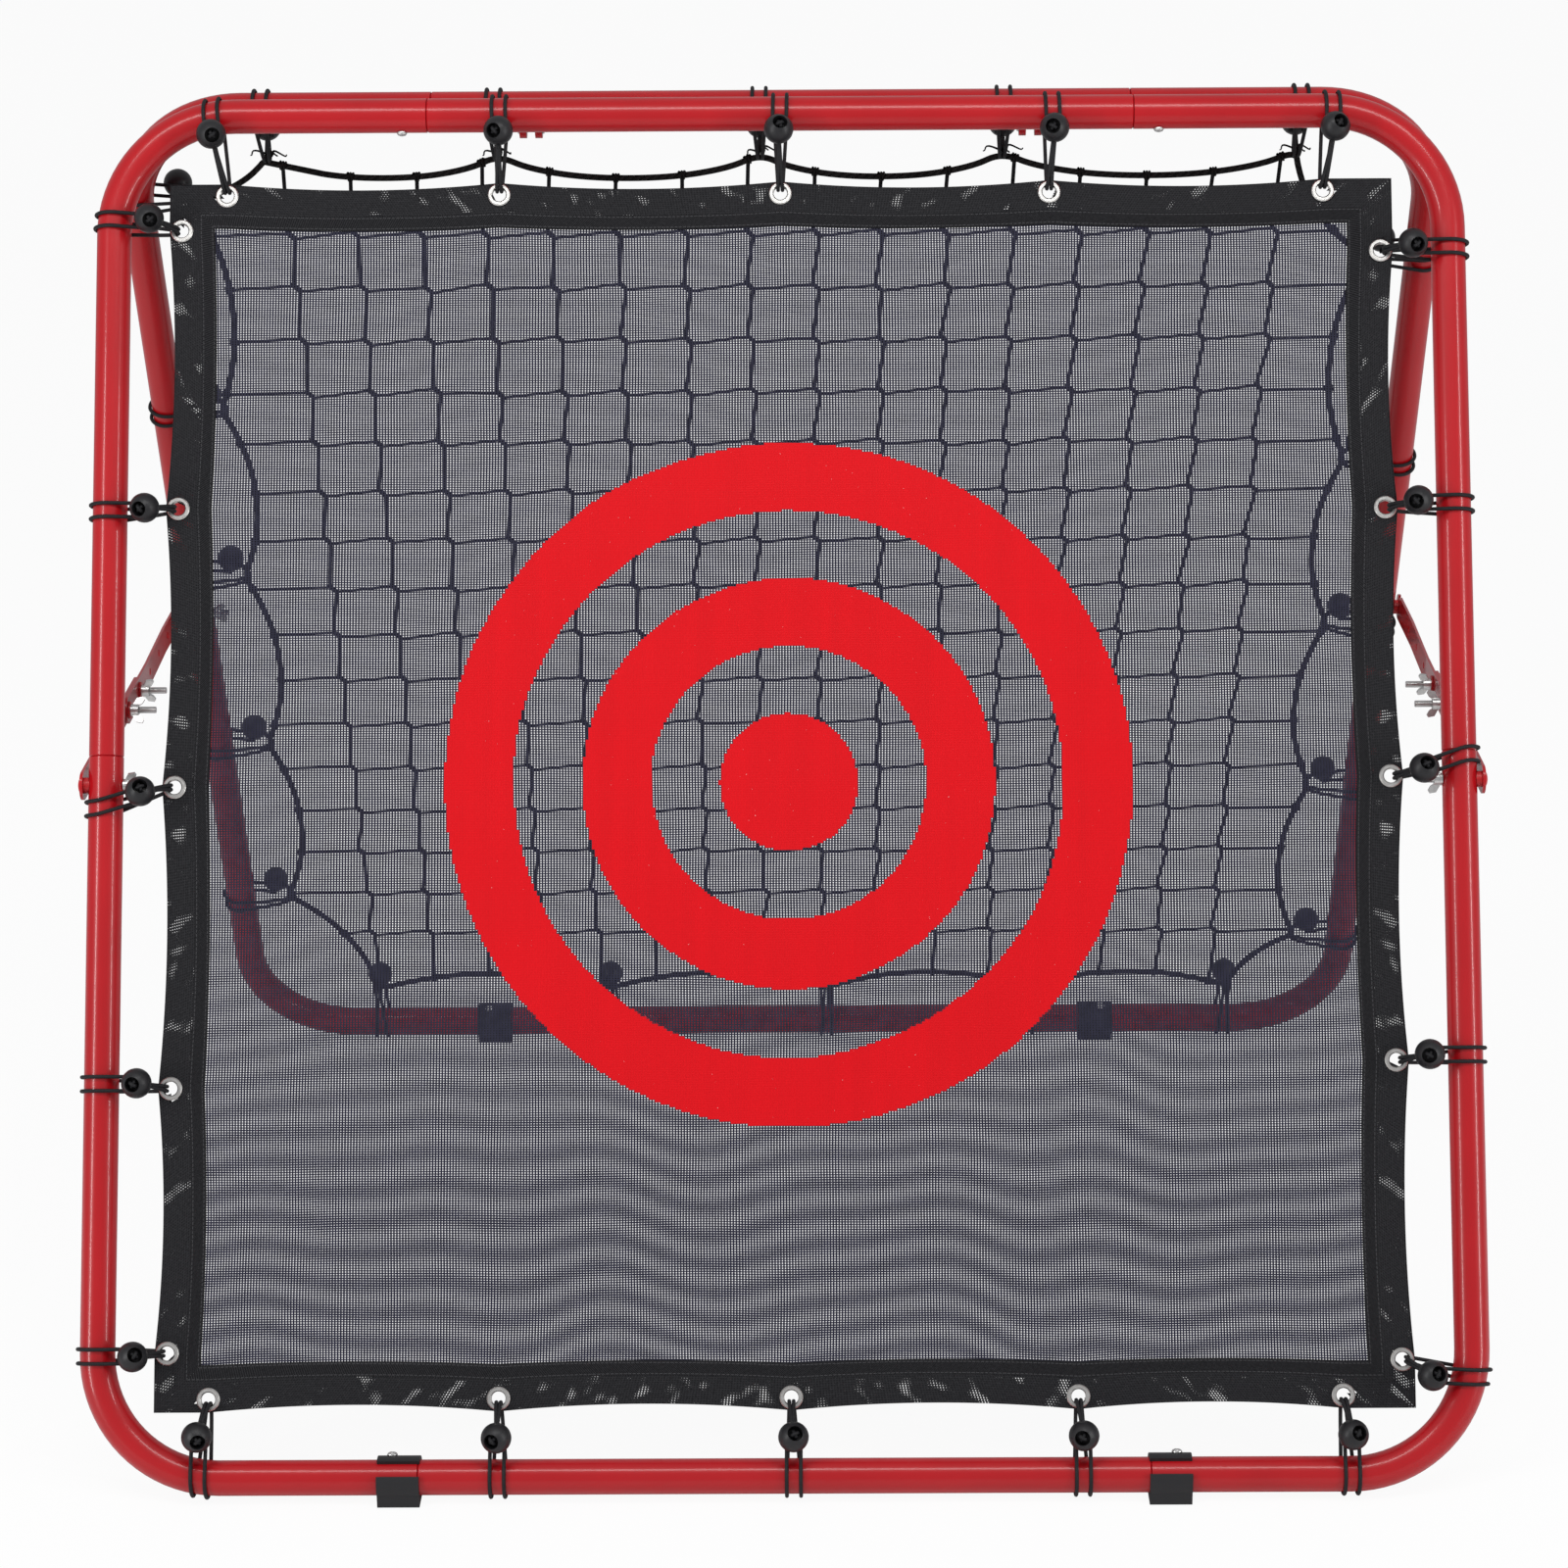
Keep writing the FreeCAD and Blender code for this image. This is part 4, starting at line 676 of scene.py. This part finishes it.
def tie_strands(leaf, side, turn, ball_reach, places, lift):
    """The two strands of one tie as paths, and the middle of its ball."""
    eye, ball_at, strands_at = (value / 1000 for value in places)
    under = ball_reach + BALL_COVER
    centre = by_tube(leaf, side, -ball_reach, strand_rise(ball_reach) + lift + BALL_RADIUS + BALL_SEAT, ball_at)
    paths = []
    for half in (-1.0, 1.0):
        spread = half * STRAND_SPREAD
        pinch = half * STRAND_PINCH
        start = by_tube(leaf, side, -under, strand_rise(under) + lift, ball_at + spread)
        round_tube = [by_tube(leaf, side, out, rise, strands_at + spread)
                      for out, rise in zip(wrap_out, wrap_rise)]
        behind = beside(leaf, side, -(turn - TURN_LEAN), -TURN_DEPTH, eye + pinch)
        before = beside(leaf, side, -turn, TURN_DEPTH, eye + pinch)
        to_start = start - round_tube[0]
        to_behind = behind - round_tube[-1]
        lead_in = round_tube[0] + to_start * NEAR_WRAP / np.linalg.norm(to_start)
        lead_out = round_tube[-1] + to_behind * NEAR_WRAP / np.linalg.norm(to_behind)
        into_ball = before - centre
        neck = centre + into_ball / np.linalg.norm(into_ball) * (BALL_RADIUS - BALL_COVER)
        paths.append(smooth_line([start, lead_in, *round_tube, lead_out, behind, before, neck], 7))
    return paths, centre


elastic, start, shader, place = material("elastic_cord")
cord_uv = start.node("ShaderNodeTexCoord", output="UV")
round_it, along_it = cord_uv.split("X"), cord_uv.split("Y")
one_way = (along_it * 420.0 + round_it * 4.0) * 2 * math.pi
other_way = (along_it * 420.0 - round_it * 4.0) * 2 * math.pi
plait = one_way.calc("SINE") * other_way.calc("SINE") * 0.5 + 0.5
# The base colour is painted shade and highlight: darker in the braid's grooves and lighter on its crests.
wire(shader, Base_Color=plait.mix((0.004, 0.004, 0.005, 1.0), (0.016, 0.016, 0.018, 1.0)),
     Roughness=0.5 + plait * 0.2, Specular_IOR_Level=0.25, Normal=bumped(plait, 0.0003, 0.6))

SIDE_REACH = front.half - SHEET_HALF + EYELET_INSET - EYELET_PULL
REACH_FRONT = {
    "top": SHEET_TOP + EYELET_INSET - EYELET_PULL,
    "bottom": front.height - SHEET_BOTTOM + EYELET_INSET - EYELET_PULL,
    "left": SIDE_REACH,
    "right": SIDE_REACH,
}
REACH_REAR = 0.0563
ball_middles = []


def lacing(leaf, end, side, ties, turn, ball_reach):
    """The elastic of one side as one object. It also notes where each of its balls is."""
    side_paths = []
    for number, tie in enumerate(ties):
        lift = BOLT_TIE_LIFT if side in ("left", "right") and number == 2 else 0.0
        paths, centre = tie_strands(leaf, side, turn, ball_reach, tie, lift)
        side_paths += paths
        ball_middles.append((leaf, number, centre))
    side_paths = np.array(side_paths)
    reference = leaf.down if side in ("left", "right") else np.array([1.0, 0.0, 0.0])
    piece = grid_mesh(f"elastic_{end}_{side}", swept(side_paths, CORD_RADIUS, reference, STRAND_SIDES),
                      tube_uv(side_paths, STRAND_SIDES), wrap=True)
    piece.data.materials.append(elastic)
    return piece


for side, ties in FRONT_TIES.items():
    ball_reach = TOP_BALL_REACH if side == "top" else BALL_REACH
    piece = lacing(front, "front", side, ties, REACH_FRONT[side], ball_reach)
    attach(piece, "front_frame")
    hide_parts(f"front_tie_cords_{side}")
for side, ties in REAR_TIES.items():
    ball_reach = LOW_REAR_BALL_REACH if side == "bottom" else BALL_REACH
    piece = lacing(rear, "rear", side, ties, REACH_REAR, ball_reach)
    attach(piece, "rear_frame")
    if side == "top":
        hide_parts("rear_tie_cords")

# Tie balls
# Black moulded balls with a cup hole that holds the elastic's knot.

ball_plastic, start, shader, place = material("black_ball")
matt = start.noise(place, 900.0, 2.0)
wire(shader, Base_Color=matt.mix((0.008, 0.008, 0.009, 1.0), (0.02, 0.02, 0.022, 1.0)),
     Roughness=0.34 + matt * 0.14, Specular_IOR_Level=0.35, Normal=bumped(matt, 0.00005, 0.4))
dress([f"front_tie_balls_{side}" for side in FRONT_TIES] + ["rear_tie_balls"], ball_plastic)

# Knots in the balls
# The tie's two ends are knotted in the cup of each ball: two crossed loops of the elastic, pulled tight.

KNOT_OUT = 0.0065
KNOT_LOOP = 0.0030
KNOT_STEP = 0.0014
KNOT_CORD = 0.0016
CUP_TILTS = np.radians([14.0, -18.0, 8.0, -10.0, 20.0])
knot_paths = {"front_frame": [], "rear_frame": []}
for leaf, number, centre in ball_middles:
    tilt = CUP_TILTS[number]
    lean_out = CUP_TILTS[number - 1]
    facing = math.cos(lean_out) * leaf.out + math.sin(lean_out) * leaf.down
    facing = facing * math.cos(tilt) + np.array([math.sin(tilt), 0.0, 0.0])
    facing /= np.linalg.norm(facing)
    flat = np.cross(facing, leaf.down)
    flat /= np.linalg.norm(flat)
    steep = np.cross(facing, flat)
    around = np.linspace(0.0, 2 * math.pi, 22)[:, None]
    for loop in (0.0, math.pi / 2):
        turn = loop + tilt * 3.0
        one = math.cos(turn) * flat + math.sin(turn) * steep
        knot_paths["front_frame" if leaf is front else "rear_frame"].append(
            centre + facing * (KNOT_OUT + KNOT_STEP * math.cos(loop)) + KNOT_LOOP * np.cos(around) * one
            + KNOT_LOOP * 0.8 * np.sin(around) * facing)
for body, paths in knot_paths.items():
    paths = np.array(paths)
    piece = grid_mesh(f"ball_knots_{body[:5].strip('_')}", swept(paths, KNOT_CORD, (0.3, 0.5, 0.81), 8),
                      tube_uv(paths, 8), wrap=True)
    piece.data.materials.append(elastic)
    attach(piece, body)

# Net
# Square meshes of black twine, tied by hand with one slanting knot at each crossing, laced along a rope.

NET_COLUMNS = 17
NET_ROWS = 17
ROPE_REACH = 0.050
ROPE_DIP = 0.026
SCALLOP_CHORD = 0.220


def rope_posts():
    """Where the ties hold the rope, clockwise from the top left seen from behind the camera: x and s."""
    level = rear.half - ROPE_REACH
    low = rear.height - ROPE_REACH
    posts = [(tie[0] / 1000, ROPE_REACH) for tie in REAR_TIES["top"]]
    posts += [(level, tie[0] / 1000) for tie in REAR_TIES["right"]]
    posts += [(tie[0] / 1000, low) for tie in reversed(REAR_TIES["bottom"])]
    posts += [(-level, tie[0] / 1000) for tie in reversed(REAR_TIES["left"])]
    return np.array(posts)


def rope_controls():
    """The rope's route: from tie to tie in scallops 1 - |2f - 1|^e deep, deepest in the middle.

    The exponent e is 2, a parabola, and 3.2 along the top, where the net's weight pulls the rope flat.
    """
    posts = rope_posts()
    controls = []
    for start_post, end_post in zip(posts, np.roll(posts, -1, axis=0)):
        chord = end_post - start_post
        length = np.linalg.norm(chord)
        inward = np.array([-chord[1], chord[0]]) / length
        dip = ROPE_DIP * min(1.0, length / SCALLOP_CHORD)
        top_run = max(start_post[1], end_post[1]) < ROPE_REACH + 0.001
        for share in (0.0, 0.12, 0.35, 0.65, 0.88):
            depth = 1.0 - abs(2 * share - 1.0) ** (3.2 if top_run else 2.0)
            controls.append(start_post + chord * share + inward * dip * depth)
    return np.array(controls)


rope_line = rope_controls()
rope_points = smooth_line(np.concatenate([rope_line, rope_line[:3]]), 10)[10:-21]
COLUMN_STEP = 0.05988
ROW_STEP = 0.0607
EDGE_REACH = 0.076
UPRIGHT_RADIUS = 0.0018
LEVEL_RADIUS = 0.0013
JOG = np.array([0.0052, 0.0058])
JOG_LEAD = 0.0045
KNOT_SCATTER = 0.0011
UPRIGHT_RISE = 0.0012
LEVEL_RISE = -0.0004
KNOT_RISE = 0.0006
KNOT_RADII = np.array([0.0001, 0.0014, 0.0025, 0.0021, 0.0027, 0.0022, 0.0025, 0.0014, 0.0001])
chance = np.random.default_rng(7)


def rope_crossings(level, axis):
    """The lowest and highest place where the closed rope line crosses a level of one coordinate."""
    start, end = rope_points, np.roll(rope_points, -1, axis=0)
    crossed = (start[:, axis] - level) * (end[:, axis] - level) < 0
    start, end = start[crossed], end[crossed]
    share = (level - start[:, axis]) / (end[:, axis] - start[:, axis])
    other = start[:, 1 - axis] + share * (end[:, 1 - axis] - start[:, 1 - axis])
    return float(other.min()), float(other.max())


knot_columns = EDGE_REACH - rear.half + COLUMN_STEP * np.arange(1, NET_COLUMNS)
knot_rows = EDGE_REACH + ROW_STEP * np.arange(1, NET_ROWS)
knots = np.stack(np.meshgrid(knot_columns, knot_rows, indexing="ij"), axis=-1)
knots = knots + chance.normal(0.0, KNOT_SCATTER, knots.shape)
rope_ends = []


def by_knots(line, lead):
    """Control points past a row of knots: straight in, along each knot's slant, and straight on."""
    return [place for knot in line for place in (knot - JOG / 2 - lead, knot - JOG / 2, knot + JOG / 2,
                                                 knot + JOG / 2 + lead)]


upright_paths = []
for column, line in zip(knot_columns, knots):
    high, low = rope_crossings(column, 0)
    rope_ends += [(column, high), (column, low)]
    upright_paths.append(smooth_line([(column, high), *by_knots(line, (0.0, JOG_LEAD)), (column, low)], 3))
level_paths = []
for row_place, line in zip(knot_rows, knots.transpose(1, 0, 2)):
    left, right = rope_crossings(row_place, 1)
    rope_ends += [(left, row_place), (right, row_place)]
    route = [(left, row_place), *by_knots(line, (JOG_LEAD, 0.0)), (right, row_place)]
    level_paths.append(smooth_line(route, 3))
upright_paths = np.array(upright_paths)
level_paths = np.array(level_paths)


def joined(name, parts):
    """One object of several stacks of rings, each wrapped round its path: a list of points and uv."""
    pieces = [grid_mesh(f"{name}_{number}", points, uv, wrap=True) for number, (points, uv) in enumerate(parts)]
    with bpy.context.temp_override(active_object=pieces[0], selected_editable_objects=pieces, object=pieces[0]):
        bpy.ops.object.join()
    pieces[0].name = name
    return pieces[0]


upright_3d = rear.at(upright_paths[..., 0], upright_paths[..., 1], UPRIGHT_RISE)
level_3d = rear.at(level_paths[..., 0], level_paths[..., 1], LEVEL_RISE)
shares = np.linspace(-0.95, 0.95, len(KNOT_RADII))
knot_line = knots.reshape(-1, 1, 2) + shares[None, :, None] * JOG
knot_3d = rear.at(knot_line[..., 0], knot_line[..., 1], KNOT_RISE)
net = joined("net_twine_mesh", [
    (swept(upright_3d, UPRIGHT_RADIUS, rear.out, 8), tube_uv(upright_3d, 8)),
    (swept(level_3d, LEVEL_RADIUS, rear.out, 8), tube_uv(level_3d, 8)),
    (swept(knot_3d, KNOT_RADII[None], rear.out, 8), tube_uv(knot_3d, 8)),
])
net_twine, start, shader, place = material("net_twine")
twine_uv = start.node("ShaderNodeTexCoord", output="UV")
lay = (twine_uv.split("X") * 2.0 + twine_uv.split("Y") * 330.0) * (2 * math.pi)
strand = lay.calc("SINE") * 0.5 + 0.5
fuzz = start.noise(place, 1500.0, 2.0)
# The base colour is partly painted shade: darker in the grooves of the twine's lay and lighter on its strands.
# The rest is random fuzz.
wire(shader, Base_Color=(strand * 0.6 + fuzz * 0.4).mix((0.004, 0.004, 0.005, 1.0), (0.02, 0.02, 0.022, 1.0)),
     Roughness=0.75 + fuzz * 0.15, Specular_IOR_Level=0.12, Normal=bumped(strand, 0.0004, 0.7))
net.data.materials.clear()
net.data.materials.append(net_twine)
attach(net, "rear_frame")
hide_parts("rear_net")

# Border rope
# Laid black rope round the net, held by the rear ties. Each net line is hitched to it with two turns.

ROPE_RADIUS = 0.0028
HITCH_RADIUS = 0.0012
HITCH_LENGTH = 0.0052
HITCH_TURNS = 2.2
TAIL_THICK, TAIL_THIN = 0.0013, 0.0006
rope_3d = rear.at(rope_points[:, 0], rope_points[:, 1], 0.0)
closed_rope = np.concatenate([rope_3d, rope_3d[:1]])[None]
hitch_paths = []
turns = np.linspace(0.0, HITCH_TURNS * 2 * math.pi, 25)[:, None]
hitch_shift = (turns / turns[-1] - 0.5) * HITCH_LENGTH
hitch_reach = ROPE_RADIUS + HITCH_RADIUS / 2
for x, s in rope_ends:
    nearest = int(np.argmin(np.hypot(rope_points[:, 0] - x, rope_points[:, 1] - s)))
    heading = rope_3d[(nearest + 1) % len(rope_3d)] - rope_3d[nearest - 1]
    heading /= np.linalg.norm(heading)
    side = np.cross(heading, rear.out)
    middle = rear.at(np.array(x), np.array(s), np.array(0.0))
    hitch_paths.append(middle + hitch_reach * (np.cos(turns) * side + np.sin(turns) * rear.out)
                       + heading * hitch_shift)
hitch_paths = np.array(hitch_paths)
tail_paths = []
steps = np.linspace(0.0, 1.0, 12)
for x, s in rope_posts()[:len(REAR_TIES["top"])]:
    for aim in (-1.0, 1.0, 0.4):
        reach = aim * chance.uniform(0.012, 0.022)
        up = chance.uniform(0.002, 0.011)
        curl = 0.0016 * np.sin(steps * 9.0 + aim)
        tail_paths.append(rear.at(x + reach * steps + curl, s + 0.002 - up * steps * (1.6 - steps) + curl,
                                  0.004 + 0.003 * np.sin(steps * 5.0)))
tail_paths = np.array(tail_paths)
tail_radii = np.linspace(TAIL_THICK, TAIL_THIN, len(steps))[None]
rope = joined("border_rope", [
    (swept(closed_rope, ROPE_RADIUS, rear.out, 12), tube_uv(closed_rope, 12)),
    (swept(hitch_paths, HITCH_RADIUS, (1.0, 0.3, 0.2), 6), tube_uv(hitch_paths, 6)),
    (swept(tail_paths, tail_radii, rear.out, 6), tube_uv(tail_paths, 6)),
])
net_rope, start, shader, place = material("net_rope")
rope_uv = start.node("ShaderNodeTexCoord", output="UV")
lay = (rope_uv.split("X") * 3.0 + rope_uv.split("Y") * 130.0) * (2 * math.pi)
strand = lay.calc("SINE") * 0.5 + 0.5
fuzz = start.noise(place, 1200.0, 2.0)
# The base colour is mostly painted shade: darker in the grooves of the rope's lay and lighter on its strands.
# The rest is random fuzz.
wire(shader, Base_Color=(strand * 0.7 + fuzz * 0.3).mix((0.004, 0.004, 0.004, 1.0), (0.024, 0.022, 0.022, 1.0)),
     Roughness=0.7 + fuzz * 0.2, Specular_IOR_Level=0.12, Normal=bumped(strand, 0.0008, 0.8))
rope.data.materials.clear()
rope.data.materials.append(net_rope)
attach(rope, "rear_frame")
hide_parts("net_border_rope")
